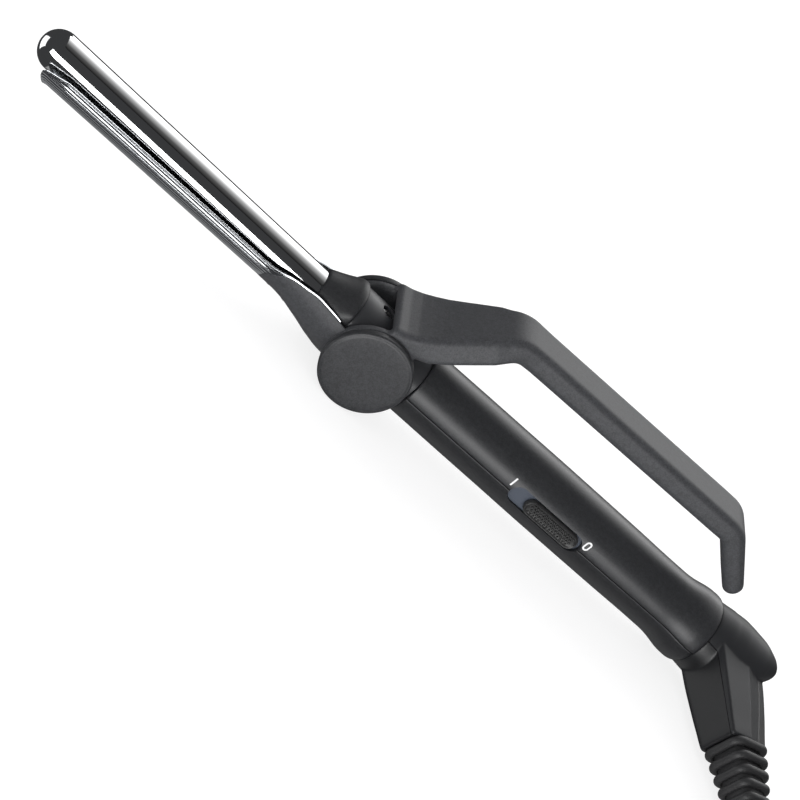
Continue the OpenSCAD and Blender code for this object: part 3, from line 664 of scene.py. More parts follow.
def hank_line():
    """The wound turns: an outer column going up, then an inner one coming down."""
    out = []
    x, y, run = HANK["x"], HANK["y"], HANK["run"]
    layer = 2 * CORD_R
    z0 = HANK["z"] + CORD_R

    def turn(radius, level, next_radius, next_level, last):
        """One turn: near run, right fold, far run, left fold. The last ends after its fold."""
        for s in spread(-run / 2, run / 2, RUN_STEPS)[:-1]:
            out.append(Vector((x + s, y + radius, z0 + level * layer)))
        for a in spread(90, -90, FOLD_STEPS)[:-1]:
            r = math.radians(a)
            out.append(Vector((x + run / 2 + radius * math.cos(r), y + radius * math.sin(r),
                               z0 + level * layer)))
        if last:
            return
        for s in spread(run / 2, -run / 2, RUN_STEPS)[:-1]:
            k = ease((run / 2 - s) / run)
            q = radius + (next_radius - radius) * k
            out.append(Vector((x + s, y - q, z0 + level * layer)))
        for a in spread(270, 90, FOLD_STEPS)[:-1]:
            r = math.radians(a)
            k = ease((270 - a) / 180)
            out.append(Vector((x - run / 2 + next_radius * math.cos(r),
                               y + next_radius * math.sin(r),
                               z0 + (level + (next_level - level) * k) * layer)))

    steps = [(HANK["outer"], k) for k in range(HANK_LAYERS)]
    steps += [(HANK["inner"], k) for k in reversed(range(HANK_LAYERS))]
    for i, (radius, level) in enumerate(steps):
        last = i == len(steps) - 1
        after = (radius, level) if last else steps[i + 1]
        turn(radius, level, after[0], after[1], last)
    return out


def tube_loops(line, radius):
    """Rings round a line, each turned as little as can be from the last."""
    loops = []
    side = None
    for i, p in enumerate(line):
        d = (line[min(i + 1, len(line) - 1)] - line[max(i - 1, 0)]).normalized()
        side = (Vector((0, 0, 1)).cross(d) if side is None else side - side.dot(d) * d).normalized()
        up = d.cross(side)
        loops.append([p + radius * (math.cos(2 * math.pi * j / CORD_SIDES) * side
                                    + math.sin(2 * math.pi * j / CORD_SIDES) * up)
                      for j in range(CORD_SIDES)])
    return loops


class IRON_OT_cord(bpy.types.Operator):
    """Lays the cord from its strain relief through the tied hank to its plug"""
    bl_idname = "iron.cord"
    bl_label = "Cord"

    def execute(self, context):
        line = through(LEAD, ROUTE_STEP)[:-1] + hank_line() + through(TAIL, ROUTE_STEP)
        length = sum((b - a).length for a, b in zip(line, line[1:]))
        shape = Shape()
        sizes = context.scene.iron_sizes
        shape.loft(tube_loops(line, sizes.cord_diameter / MM / 2))
        cord = shape.thing("cord")
        finish_piece(cord, "swivel", finish("cord_rubber"),
                     ("power_cord", "cord_hank", "cord_tail"), 60)
        place = [list(PIVOT + p * MM) for p in line]
        return {"FINISHED"}


HANK_HIGH = 26
PLUG_PLACE = axes_matrix((262, HANK["y"], HANK["z"] + HANK_HIGH + 7.1), (-1, 0, 0), (0, 0, 1))
# distance along the plug, width, thickness and corner radius, after its grooved sleeve
PLUG_BODY = [(0.4, 10.6, 10.4, 5), (3, 14, 11.4, 5), (6, 20, 12, 4.4), (9, 26, 12.4, 4),
             (12, 30.5, 12.6, 3.6), (15, 32.6, 12.8, 3.4), (18, 33.4, 12.9, 3.2),
             (18.5, 32.8, 12.3, 3), (20, 32.8, 12.3, 3), (20.5, 33.8, 13, 3.2),
             (23, 34.3, 13.1, 3.2), (23.5, 33.6, 12.4, 3), (25, 33.6, 12.4, 3),
             (25.5, 34.6, 13.2, 3.2), (32.6, 35.2, 13.6, 3.2), (33.6, 34.8, 13.2, 3),
             (34, 34, 12.4, 2.6)]
PLUG_GROOVES, GROOVE_PITCH = 4, 3.1
PIN_OFF = 9.5
PIN_PROFILE = [(2, 30), (2, 51.2), (1.85, 51.9), (1.5, 52.5), (0.9, 52.9), (0.3, 53)]
STRAP_X, STRAP_HALF = 300, 6


class IRON_OT_plug(bpy.types.Operator):
    """Makes the plug with its pins, and the strap round the hank"""
    bl_idname = "iron.plug"
    bl_label = "Plug and strap"

    def execute(self, context):
        body = Shape()
        sections = [(-14, 9, 9, 4.4), (-13.6, 9.2, 9.2, 4.5)]
        for k in range(PLUG_GROOVES):
            z = -12.4 + GROOVE_PITCH * k
            sections += [(z, 9.2, 9.2, 4.5), (z + 0.3, 8, 8, 3.9), (z + 1.3, 8, 8, 3.9),
                         (z + 1.6, 9.2, 9.2, 4.5)]
        sections += PLUG_BODY
        body.loft([[(q[1], q[0], z) for q in rounded(w, t, min(r, t / 2 - 0.01))]
                   for z, w, t, r in sections], PLUG_PLACE)
        plug = body.thing("plug")
        finish_piece(plug, "swivel", finish("plug_rubber"), ("plug_body",), 50)

        pins = Shape()
        for side in (-1, 1):
            pins.turned(PIN_PROFILE, PLUG_PLACE @ Matrix.Translation((0, side * PIN_OFF, 0)), 32)
        made = pins.thing("plug_pins")
        finish_piece(made, "swivel", finish("pin_nickel"),
                     ("plug_pin_live", "plug_pin_neutral"))

        strap = Shape()
        place = axes_matrix((STRAP_X, HANK["y"], HANK["z"] + HANK_HIGH / 2), (1, 0, 0),
                            (0, 0, 1))
        outer, inner = [], []
        for s in (-STRAP_HALF, -5.7, 5.7, STRAP_HALF):
            rim = 0.2 if abs(s) == STRAP_HALF else 0.0
            outer.append([(q[1], q[0], s) for q in rounded(60.6 - rim, 27.6 - rim, 5.6, 8)])
            inner.append([(q[1], q[0], s) for q in rounded(59.4, 26.4, 5, 8)])
        strap.slab(outer, inner, place, round_about=True)
        # the strap's loose end, folded back over its top
        flap = Shape()
        flap.loft([[(14.1 + 0.35 * ease((y + 20) / 14) + u, y, z) for u, z in
                    ((0, -5.6), (0.7, -5.3), (0.7, 5.3), (0, 5.6))] for y in spread(-22, 4, 12)],
                  place)
        band = strap.thing("hank_strap")
        joined(band, flap.thing("flap"))
        finish_piece(band, "swivel", finish("tie_grey"), ("cord_tie",), 50)
        return {"FINISHED"}


# ---------------------------------------------------------------- node-made pieces
class Growth:
    """A geometry tree, its nodes added one by one."""

    def __init__(self, name, sockets):
        self.tree = bpy.data.node_groups.new(name, "GeometryNodeTree")
        ports = self.tree.interface
        for label, kind, value in sockets:
            socket = ports.new_socket(label, in_out="INPUT", socket_type=kind)
            if value is not None:
                socket.default_value = value
        ports.new_socket("Geometry", in_out="OUTPUT", socket_type="NodeSocketGeometry")
        self.given = self.tree.nodes.new("NodeGroupInput")
        self.end = self.tree.nodes.new("NodeGroupOutput")

    def value(self, label):
        return self.given.outputs[label]

    def node(self, kind, settings=None, inputs=None):
        made = self.tree.nodes.new(kind)
        for key, value in (settings or {}).items():
            setattr(made, key, value)
        for key, value in (inputs or {}).items():
            if isinstance(value, bpy.types.NodeSocket):
                self.tree.links.new(value, made.inputs[key])
            else:
                made.inputs[key].default_value = value
        return made.outputs[0]

    def math(self, how, a, b=0.0):
        return self.node("ShaderNodeMath", {"operation": how}, {0: a, 1: b})

    def finish(self, geometry, material):
        real = self.node("GeometryNodeRealizeInstances", {}, {0: geometry})
        painted = self.node("GeometryNodeSetMaterial", {}, {0: real, "Material": material})
        self.tree.links.new(painted, self.end.inputs[0])
        return self.tree


def grown(name, tree, values, place=IDENTITY):
    """Runs a geometry tree on an empty mesh and keeps the plain result, put in its place."""
    made = bpy.data.objects.new(name, bpy.data.meshes.new(name))
    bpy.context.scene.collection.objects.link(made)
    step = made.modifiers.new("grow", "NODES")
    step.node_group = tree
    idents = {s.name: s.identifier for s in tree.interface.items_tree if s.in_out == "INPUT"}
    for label, value in values.items():
        step[idents[label]] = value
    plain(made)
    put = Matrix.Translation(PIVOT) @ Matrix.Scale(MM, 4) @ place
    made.data.transform(put)
    work = bmesh.new()
    work.from_mesh(made.data)
    bmesh.ops.remove_doubles(work, verts=work.verts, dist=GROWN_WELD)
    bmesh.ops.recalc_face_normals(work, faces=work.faces)
    work.to_mesh(made.data)
    work.free()
    return made


def barrel_tree():
    """A tube whose last stretch closes as a half sphere."""
    g = Growth("domed_tube", [
        ("Radius", "NodeSocketFloat", 8.0), ("From", "NodeSocketFloat", 21.0),
        ("Dome", "NodeSocketFloat", 161.5), ("Rings", "NodeSocketInt", 60),
        ("Sides", "NodeSocketInt", 128)])
    line = g.node("GeometryNodeCurvePrimitiveLine", {}, {"Start": (0, 0, 0), "End": (0, 0, 1)})
    dots = g.node("GeometryNodeResampleCurve", {"mode": "COUNT"},
                  {"Curve": line, "Count": g.value("Rings")})
    index = g.node("GeometryNodeInputIndex")
    t = g.math("DIVIDE", index, g.math("SUBTRACT", g.value("Rings"), 1.0))
    # the first quarter of the rings runs straight, the rest is the dome
    straight = g.math("MINIMUM", g.math("MULTIPLY", t, 4.0), 1.0)
    bend = g.math("MULTIPLY", g.math("MAXIMUM", g.math("SUBTRACT", t, 0.25), 0.0),
                  math.pi / 2 / 0.75)
    reach = g.math("MULTIPLY", g.math("SUBTRACT", g.value("Dome"), g.value("From")), straight)
    along = g.math("ADD", g.math("ADD", g.value("From"), reach),
                   g.math("MULTIPLY", g.value("Radius"), g.math("SINE", bend)))
    place = g.node("ShaderNodeCombineXYZ", {}, {"Z": along})
    moved = g.node("GeometryNodeSetPosition", {}, {"Geometry": dots, "Position": place})
    wide = g.math("MAXIMUM", g.math("MULTIPLY", g.value("Radius"), g.math("COSINE", bend)), 0.001)
    ring = g.node("GeometryNodeCurvePrimitiveCircle", {},
                  {"Resolution": g.value("Sides"), "Radius": 1.0})
    sized = g.node("GeometryNodeSetCurveRadius", {}, {"Curve": moved, "Radius": wide})
    tube = g.node("GeometryNodeCurveToMesh", {},
                  {"Curve": sized, "Profile Curve": ring, "Scale": wide, "Fill Caps": True})
    return g.finish(tube, finish("barrel_chrome"))


def rib_tree():
    """Square rings with round corners, each smaller than the last."""
    g = Growth("relief_ribs", [
        ("Count", "NodeSocketInt", 9), ("Pitch", "NodeSocketFloat", 5.7),
        ("First", "NodeSocketFloat", 49.0), ("Lean", "NodeSocketFloat", -2.0),
        ("Wide", "NodeSocketFloat", 9.6),
        ("Step", "NodeSocketFloat", 0.6), ("Bead", "NodeSocketFloat", 2.0)])
    line = g.node("GeometryNodeMeshLine", {"mode": "OFFSET"}, {
        "Count": g.value("Count"),
        "Start Location": g.node("ShaderNodeCombineXYZ", {}, {
            "X": g.value("Lean"), "Z": g.value("First")}),
        "Offset": g.node("ShaderNodeCombineXYZ", {}, {
            "X": g.math("DIVIDE", g.value("Lean"), -9.0), "Z": g.value("Pitch")})})
    square = g.node("GeometryNodeCurvePrimitiveQuadrilateral", {}, {"Width": 2.0, "Height": 2.0})
    corners = g.node("GeometryNodeFilletCurve", {"mode": "POLY"},
                     {"Curve": square, "Radius": 0.42, "Count": 10})
    index = g.node("GeometryNodeInputIndex")
    small = g.math("SUBTRACT", g.value("Wide"), g.math("MULTIPLY", g.value("Step"), index))
    flat = g.math("SUBTRACT", small, g.value("Bead"))
    scale = g.node("ShaderNodeCombineXYZ", {}, {"X": flat, "Y": flat, "Z": 1.0})
    placed = g.node("GeometryNodeInstanceOnPoints", {}, {
        "Points": line, "Instance": corners, "Scale": scale})
    rings = g.node("GeometryNodeRealizeInstances", {}, {0: placed})
    bead = g.node("GeometryNodeCurvePrimitiveCircle", {}, {
        "Resolution": 16, "Radius": g.value("Bead")})
    ribs = g.node("GeometryNodeCurveToMesh", {}, {
        "Curve": rings, "Profile Curve": bead})
    return g.finish(ribs, finish("relief_rubber"))


def screw_tree():
    """Pan heads with a cross recess."""
    g = Growth("cross_screws", [
        ("Points", "NodeSocketGeometry", None), ("Head", "NodeSocketFloat", 2.7),
        ("Height", "NodeSocketFloat", 1.8), ("Slot", "NodeSocketFloat", 0.7)])
    head = g.node("GeometryNodeMeshCone", {"fill_type": "TRIANGLE_FAN"}, {
        "Vertices": 40, "Radius Bottom": g.value("Head"),
        "Radius Top": g.math("MULTIPLY", g.value("Head"), 0.82), "Depth": g.value("Height")})
    shank = g.node("GeometryNodeMeshCylinder", {"fill_type": "TRIANGLE_FAN"}, {
        "Vertices": 24, "Radius": g.math("MULTIPLY", g.value("Head"), 0.48), "Depth": 5.0})
    shank = g.node("GeometryNodeTransform", {}, {
        "Geometry": shank, "Translation": (0, 0, -2.45)})
    slots = []
    for size in ((1, 0.22), (0.22, 1)):
        cube = g.node("GeometryNodeMeshCube", {}, {"Size": g.node("ShaderNodeCombineXYZ", {}, {
            "X": g.math("MULTIPLY", g.value("Head"), 1.25 * size[0]),
            "Y": g.math("MULTIPLY", g.value("Head"), 1.25 * size[1]), "Z": 2.0})})
        slots.append(g.node("GeometryNodeTransform", {}, {
            "Geometry": cube, "Translation": g.node("ShaderNodeCombineXYZ", {}, {
                "Z": g.math("ADD", g.math("SUBTRACT", g.value("Height"), g.value("Slot")), 1.0)})}))
    cut = g.tree.nodes.new("GeometryNodeMeshBoolean")
    cut.operation = "DIFFERENCE"
    g.tree.links.new(head, cut.inputs["Mesh 1"])
    for slot in slots:
        g.tree.links.new(slot, cut.inputs["Mesh 2"])
    both = g.tree.nodes.new("GeometryNodeJoinGeometry")
    g.tree.links.new(cut.outputs[0], both.inputs[0])
    g.tree.links.new(shank, both.inputs[0])
    aim = g.node("GeometryNodeInputNamedAttribute", {"data_type": "FLOAT_VECTOR"},
                 {"Name": "aim"})
    turn = g.node("FunctionNodeAlignRotationToVector", {"axis": "Z"}, {"Vector": aim})
    placed = g.node("GeometryNodeInstanceOnPoints", {}, {
        "Points": g.value("Points"), "Instance": both.outputs[0], "Rotation": turn})
    return g.finish(placed, finish("steel"))


def pip_tree():
    """Small domes in staggered rows, the grip of the switch."""
    g = Growth("grip_pips", [
        ("Columns", "NodeSocketInt", 15), ("Rows", "NodeSocketInt", 4),
        ("Length", "NodeSocketFloat", 21.6), ("Width", "NodeSocketFloat", 3.9),
        ("Pip", "NodeSocketFloat", 0.52)])
    grid = g.node("GeometryNodeMeshGrid", {}, {
        "Size X": g.value("Length"), "Size Y": g.value("Width"),
        "Vertices X": g.value("Columns"), "Vertices Y": g.value("Rows")})
    index = g.node("GeometryNodeInputIndex")
    row = g.math("MODULO", index, g.value("Rows"))
    odd = g.math("MODULO", row, 2.0)
    pitch = g.math("DIVIDE", g.value("Length"), g.math("SUBTRACT", g.value("Columns"), 1.0))
    shift = g.node("ShaderNodeCombineXYZ", {}, {
        "X": g.math("MULTIPLY", g.math("SUBTRACT", odd, 0.5), g.math("MULTIPLY", pitch, 0.5))})
    moved = g.node("GeometryNodeSetPosition", {}, {"Geometry": grid, "Offset": shift})
    ball = g.node("GeometryNodeMeshUVSphere", {}, {
        "Segments": 12, "Rings": 8, "Radius": g.value("Pip")})
    placed = g.node("GeometryNodeInstanceOnPoints", {}, {"Points": moved, "Instance": ball})
    return g.finish(placed, finish("knob_plastic"))


# ---------------------------------------------------------------- barrel and neck
class IRON_OT_barrel(bpy.types.Operator):
    """Makes the plated barrel with its domed end"""
    bl_idname = "iron.barrel"
    bl_label = "Barrel"

    def execute(self, context):
        radius = context.scene.iron_sizes.barrel_radius / MM
        made = grown("barrel", barrel_tree(), {"Radius": radius}, BARREL)
        finish_piece(made, "root", finish("barrel_chrome"), ("barrel_tube",), 60)
        return {"FINISHED"}


SIDE_BLEND = 1.2


def flat_sided(r, angle):
    """A point of a round section whose sides are cut flat, with a soft change."""
    across, up = r * math.cos(angle), r * math.sin(angle)
    flat = NECK_HALF - SIDE_BLEND
    if abs(across) > flat:
        over = abs(across) - flat
        across = math.copysign(flat + SIDE_BLEND * math.tanh(over / SIDE_BLEND), across)
    return across, up


COLLAR = [(16.9, 14.6), (17.3, 15.1), (18, 15.25), (19.2, 15.0), (22, 13.6), (25, 12.1),
          (28, 10.75), (30.5, 9.7), (31.6, 9.2), (32.05, 8.9), (32.2, 8.5)]
COLLAR_BORE = 8.04
NECK_SIDES = 128
HOLE = Vector((-5.4, -0.8, 15.9))
HOLE_AIM = Vector((0, -0.06, 1.0))
HOLE_PROFILE = [(2.9, -3.2), (2.9, 0.0), (3.2, 0.3), (4.2, 4)]


class IRON_OT_neck(bpy.types.Operator):
    """Makes the collar at the barrel's foot and the neck behind it"""
    bl_idname = "iron.neck"
    bl_label = "Collar and neck"

    def execute(self, context):
        angles = [2 * math.pi * j / NECK_SIDES for j in range(NECK_SIDES)]

        def loop(h, upper, lower, place):
            out = []
            for a in angles:
                k = ease((math.sin(a) + 0.45) / 0.5)
                across, up = flat_sided(lower + (upper - lower) * k, a)
                out.append(place @ Vector((up, across * (1 if place is BARREL else -1), h)))
            return out

        collar = Shape()
        outer, inner = [], []
        for i in range(len(COLLAR) * 4 - 3):
            h = COLLAR[i // 4][0] + (COLLAR[min(i // 4 + 1, len(COLLAR) - 1)][0]
                                     - COLLAR[i // 4][0]) * (i % 4) / 4
            r = curve(COLLAR, h)
            low = min(r, 13.0 - (h - 17) * 0.25)
            outer.append(loop(h, r, min(r, low), BARREL))
            inner.append(loop(h, COLLAR_BORE, COLLAR_BORE, BARREL))
        collar.slab(outer, inner, round_about=True)
        made = collar.thing("barrel_collar_ring")
        finish_piece(made, "root", finish("collar_plastic"), ("barrel_collar",))

        neck = Shape()
        rows = [loop(h, u, min(u, 13.5), BARREL) for h, u in (
            (16.7, 13.2), (16.6, 13.9), (16.2, 14.1), (12, 14.15), (6, 14.15), (0, 14.15))]
        rows += [loop(x, r, r, HANDLE) for x, r in (
            (4, 13.7), (12, 13.5), (20.5, 13.4), (21.1, 13.3), (21.2, 12.4), (46, 12.4))]
        neck.loft(rows)
        body = neck.thing("neck_post")
        hole = Shape()
        spot = Matrix.Translation(HOLE) @ axes_matrix((0, 0, 0), HOLE_AIM, (1, 0, 0))
        hole.turned(HOLE_PROFILE, spot, 48)
        carved(body, hole.thing("hole"))
        finish_piece(body, "root", finish("neck_plastic"), ("neck_core",), 30)
        return {"FINISHED"}


SCREW_SINK = 3.1
# places of the screws under the handle, and how far below its axis they lie
HANDLE_SCREWS, HANDLE_SCREW_DROP = (34, 140), 7.6


class IRON_OT_screws(bpy.types.Operator):
    """Sets the screws of the neck, the handle and the elbow"""
    bl_idname = "iron.screws"
    bl_label = "Screws"

    def execute(self, context):
        elbow = BOOT @ Vector((8.7, -8.2, 14))
        down = (BOOT.to_3x3() @ Vector((0, -1, 0))).normalized()
        groups = (
            ("root", "body_screws", ("neck_screw", "handle_screw_front", "handle_screw_rear"),
             [(HOLE - HOLE_AIM.normalized() * SCREW_SINK, HOLE_AIM)]
             + [(Vector((x, 0, HANDLE_RISE - HANDLE_SCREW_DROP)), Vector((0, 0, -1)))
                for x in HANDLE_SCREWS]),
            ("swivel", "elbow_screws", ("elbow_screw",), [(elbow, down)]))
        for body, name, nodes, spots in groups:
            dots = bpy.data.meshes.new(name + "_places")
            dots.from_pydata([p for p, _ in spots], [], [])
            aim = dots.attributes.new("aim", "FLOAT_VECTOR", "POINT")
            for i, (_, a) in enumerate(spots):
                aim.data[i].vector = a.normalized()
            made = bpy.data.objects.new(name, dots)
            context.scene.collection.objects.link(made)
            step = made.modifiers.new("grow", "NODES")
            step.node_group = screw_tree()
            plain(made)
            made.data.transform(Matrix.Translation(PIVOT) @ Matrix.Scale(MM, 4))
            finish_piece(made, body, finish("steel"), nodes, 30)
        return {"FINISHED"}


# ---------------------------------------------------------------- clamp
LINER = [(10, 15.0), (14, 14.9), (20, 14.2), (26, 12.9), (32, 11.5), (38, 10.5), (44, 9.9),
         (51, 9.7), (160, 9.7)]
CUP_OUT = [(8, 17.1), (14, 16.9), (17, 16.6), (20, 16.0), (23, 15.4), (26, 14.6), (29, 13.8),
           (32, 13.1), (35, 12.4), (38, 11.7), (41, 11.3), (44, 11.1), (51, 10.95), (52, 10.85)]
CUP_RIM = [(8, 2.6), (15, 3.3), (23, 3.8), (30, 3.8), (37, 2.7), (44, 1.4), (48, -1.2), (52, -4.6)]
SPOON_RIM = [(20, 3.9), (23, 4.2), (30, 4.2), (37, 3.1), (44, 1.9), (48, 0.6), (52, -0.2),
             (58, -0.5), (152, -0.5), (154, -1.0), (156.5, -1.6), (159, -2.2), (161, -2.7),
             (162.3, -3.6), (163, -5.4)]
# the sheet's lip at the tip, and how far its under side runs back there
LIP_FROM, LIP_LENGTH, LIP_RISE = 160.5, 2.5, 0.35
RECEDE_FROM, RECEDE_LENGTH, RECEDE = 150, 13, 5.0
RIDGES_FROM, RIDGES_FADE, RIDGES_EDGE = 48, 6, 1.6
SPOON_AROUND, CUP_AROUND = 401, 97
# the wall between the cup and the spoon in it, and the cup's half width between the covers
CUP_GAP, CUP_WALL, CUP_HALF = 1.05, 0.15, 17.3


class IRON_OT_spoon(bpy.types.Operator):
    """Makes the ridged clamp spoon"""
    bl_idname = "iron.spoon"
    bl_label = "Clamp spoon"

    def execute(self, context):
        sizes = context.scene.iron_sizes
        sheet, depth = sizes.sheet / MM, sizes.ridge_depth / MM
        stations = (spread(20, 52, 25)[:-1] + spread(52, 150, 34)[:-1] + spread(150, 161, 15)[:-1]
                    + spread(161, 163, 9))
        outer, inner = [], []
        for h in stations:
            r = curve(LINER, h)
            flare = LIP_RISE * ease((h - LIP_FROM) / LIP_LENGTH)
            rim = curve(SPOON_RIM, h)
            top = math.asin(max(-0.95, min(0.95, rim / (r + sheet / 2))))
            a, b = [], []
            strength = ease((h - RIDGES_FROM) / RIDGES_FADE)
            for u in spread(-(math.pi / 2 + top), math.pi / 2 + top, SPOON_AROUND):
                side, down = math.sin(u), math.cos(u)
                edge = min(1.0, (math.pi / 2 + top - abs(u)) * r / RIDGES_EDGE)
                ridge = depth * strength * edge * (
                    0.5 + 0.5 * math.cos(u * sizes.ridge_count * 2))
                back = (RECEDE * ease((h - RECEDE_FROM) / RECEDE_LENGTH)
                        * max(0.0, (down - 0.4) / 0.6))
                out = r + sheet + flare + ridge
                a.append((-out * down, out * side, h - back))
                q = r + flare
                b.append((-q * down, q * side, h - back))
            outer.append(a)
            inner.append(b)
        shape = Shape()
        shape.slab(outer, inner, CLAMP)
        made = shape.thing("spoon")
        soft_edges(made, 0.22, 50)
        finish_piece(made, "clamp", finish("spoon_chrome"), ("clamp_spoon",), 45)
        return {"FINISHED"}


class IRON_OT_cup(bpy.types.Operator):
    """Makes the moulded cup that holds the spoon's foot"""
    bl_idname = "iron.cup"
    bl_label = "Clamp cup"

    def execute(self, context):
        outer, inner = [], []
        for h in spread(9, 52, 44):
            liner = curve(LINER, h) + CUP_GAP
            out = max(curve(CUP_OUT, h), liner + CUP_WALL)
            rim = curve(CUP_RIM, h)
            a, b = [], []
            for grid, r in ((a, out), (b, liner)):
                top = math.asin(max(-0.9, min(0.9, rim / r)))
                for u in spread(-(math.pi / 2 + top), math.pi / 2 + top, CUP_AROUND):
                    side = r * math.sin(u)
                    side = math.copysign(min(abs(side), CUP_HALF), side)
                    grid.append((-r * math.cos(u), side, h))
            outer.append(a)
            inner.append(b)
        shape = Shape()
        shape.slab(outer, inner, CLAMP)
        made = shape.thing("cup")
        soft_edges(made, 0.3, 40)
        finish_piece(made, "clamp", finish("lever_plastic"), ("clamp_cup",))
        return {"FINISHED"}


# radius and height of a cover's outline: its back and side, its round edge, then its face
COVER_BACK = [(0.01, 17.7), (17.2, 17.7), (17.9, 17.9), (18.15, 18.4), (18.15, 20.2)]
COVER_EDGE = [(18.15 - 0.9 * (1 - math.cos(a)), 20.2 + 0.95 * math.sin(a))
              for a in spread(0.2, math.pi / 2, 6)]
COVER_FACE = [(17.05, 21.17), (16.95, 21.22), (16.6, 21.36), (16, 21.42), (12, 21.47),
              (6, 21.5), (0.01, 21.5)]


class IRON_OT_discs(bpy.types.Operator):
    """Makes the round covers over the pivot"""
    bl_idname = "iron.discs"
    bl_label = "Pivot covers"

    def execute(self, context):
        for side, name in ((-1, "near"), (1, "far")):
            shape = Shape()
            place = axes_matrix((0, 0, 0), (0, side, 0), (0, 0, 1))
            shape.turned(COVER_BACK + COVER_EDGE + COVER_FACE, place, 160)
            made = shape.thing(f"disc_{name}")
            finish_piece(made, "clamp", finish("disc_plastic"),
                         (f"disc_cap_{name}",), 30)
        return {"FINISHED"}


# top and bottom lines of the lever seen from the side, pair by pair
LEVER_SIDE = [
    ((-4.6, 20.2), (-4.6, 16.0)), ((-3.6, 21.0), (-3.6, 15.0)), ((0, 21.9), (0, 15.0)),
    ((4, 23.7), (4, 15.0)), ((8, 26.4), (9, 15.6)), ((12, 29.6), (14, 17.6)),
    ((17, 34.2), (20, 22.6)), ((22, 38.95), (26, 28.2)), ((27, 43.65), (33.2, 35.1))]
BEND_ONE, BEND_TWO = (36.5, 45.4), (156.1, 47.5)
ROOT_SLOPE, END_SLOPE, END_L = 43.4, -40.5, 29.7
BEND_ONE_R, BEND_TWO_R = 11, 9
TIP_L, TIP_NARROWER = 4, 8
BAR_SLOPE = math.degrees(math.atan2(BEND_TWO[1] - BEND_ONE[1], BEND_TWO[0] - BEND_ONE[0]))
LEVER_WIDE = [(-6, 35.0), (4, 34.6), (12, 31.8), (22, 28.2), (32, 24.6), (38, 22.6), (46, 21.2),
              (60, 21), (200, 21)]
LEVER_THICK = [(40, 10.4), (150, 10.4), (168, 9.3), (183, 8.2)]
LEVER_LEAN = [(0, 1.0), (14, 4.5), (24, 4.5), (46, 0.8), (60, 0.8)]
LEVER_WIDEST = 35.4
ROOT_ROUND, BAR_ROUND = 2.6, 3.3
# radii of what is cut out of the lever: the arch over the neck, the bay round the pivot's
# axis and the passage over the handle
ARCH_R, BAY_R, PASSAGE_R = 15.75, 18.6, 16.2
HUB = [(17.0, 13.9), (17.75, 14.2), (17.95, 14.8), (17.95, 17.5)]


def bend_stations(corner, a, b, radius, steps):
    """Places and slopes round a bend from slope a to slope b."""
    turn = b - a
    side = 1 if turn > 0 else -1
    cut = radius * math.tan(math.radians(abs(turn)) / 2)
    ra = math.radians(a)
    cx = corner[0] - cut * math.cos(ra) - side * radius * math.sin(ra)
    cz = corner[1] - cut * math.sin(ra) + side * radius * math.cos(ra)
    return [(cx + side * radius * math.sin(math.radians(s)),
             cz - side * radius * math.cos(math.radians(s)), s) for s in spread(a, b, steps)]


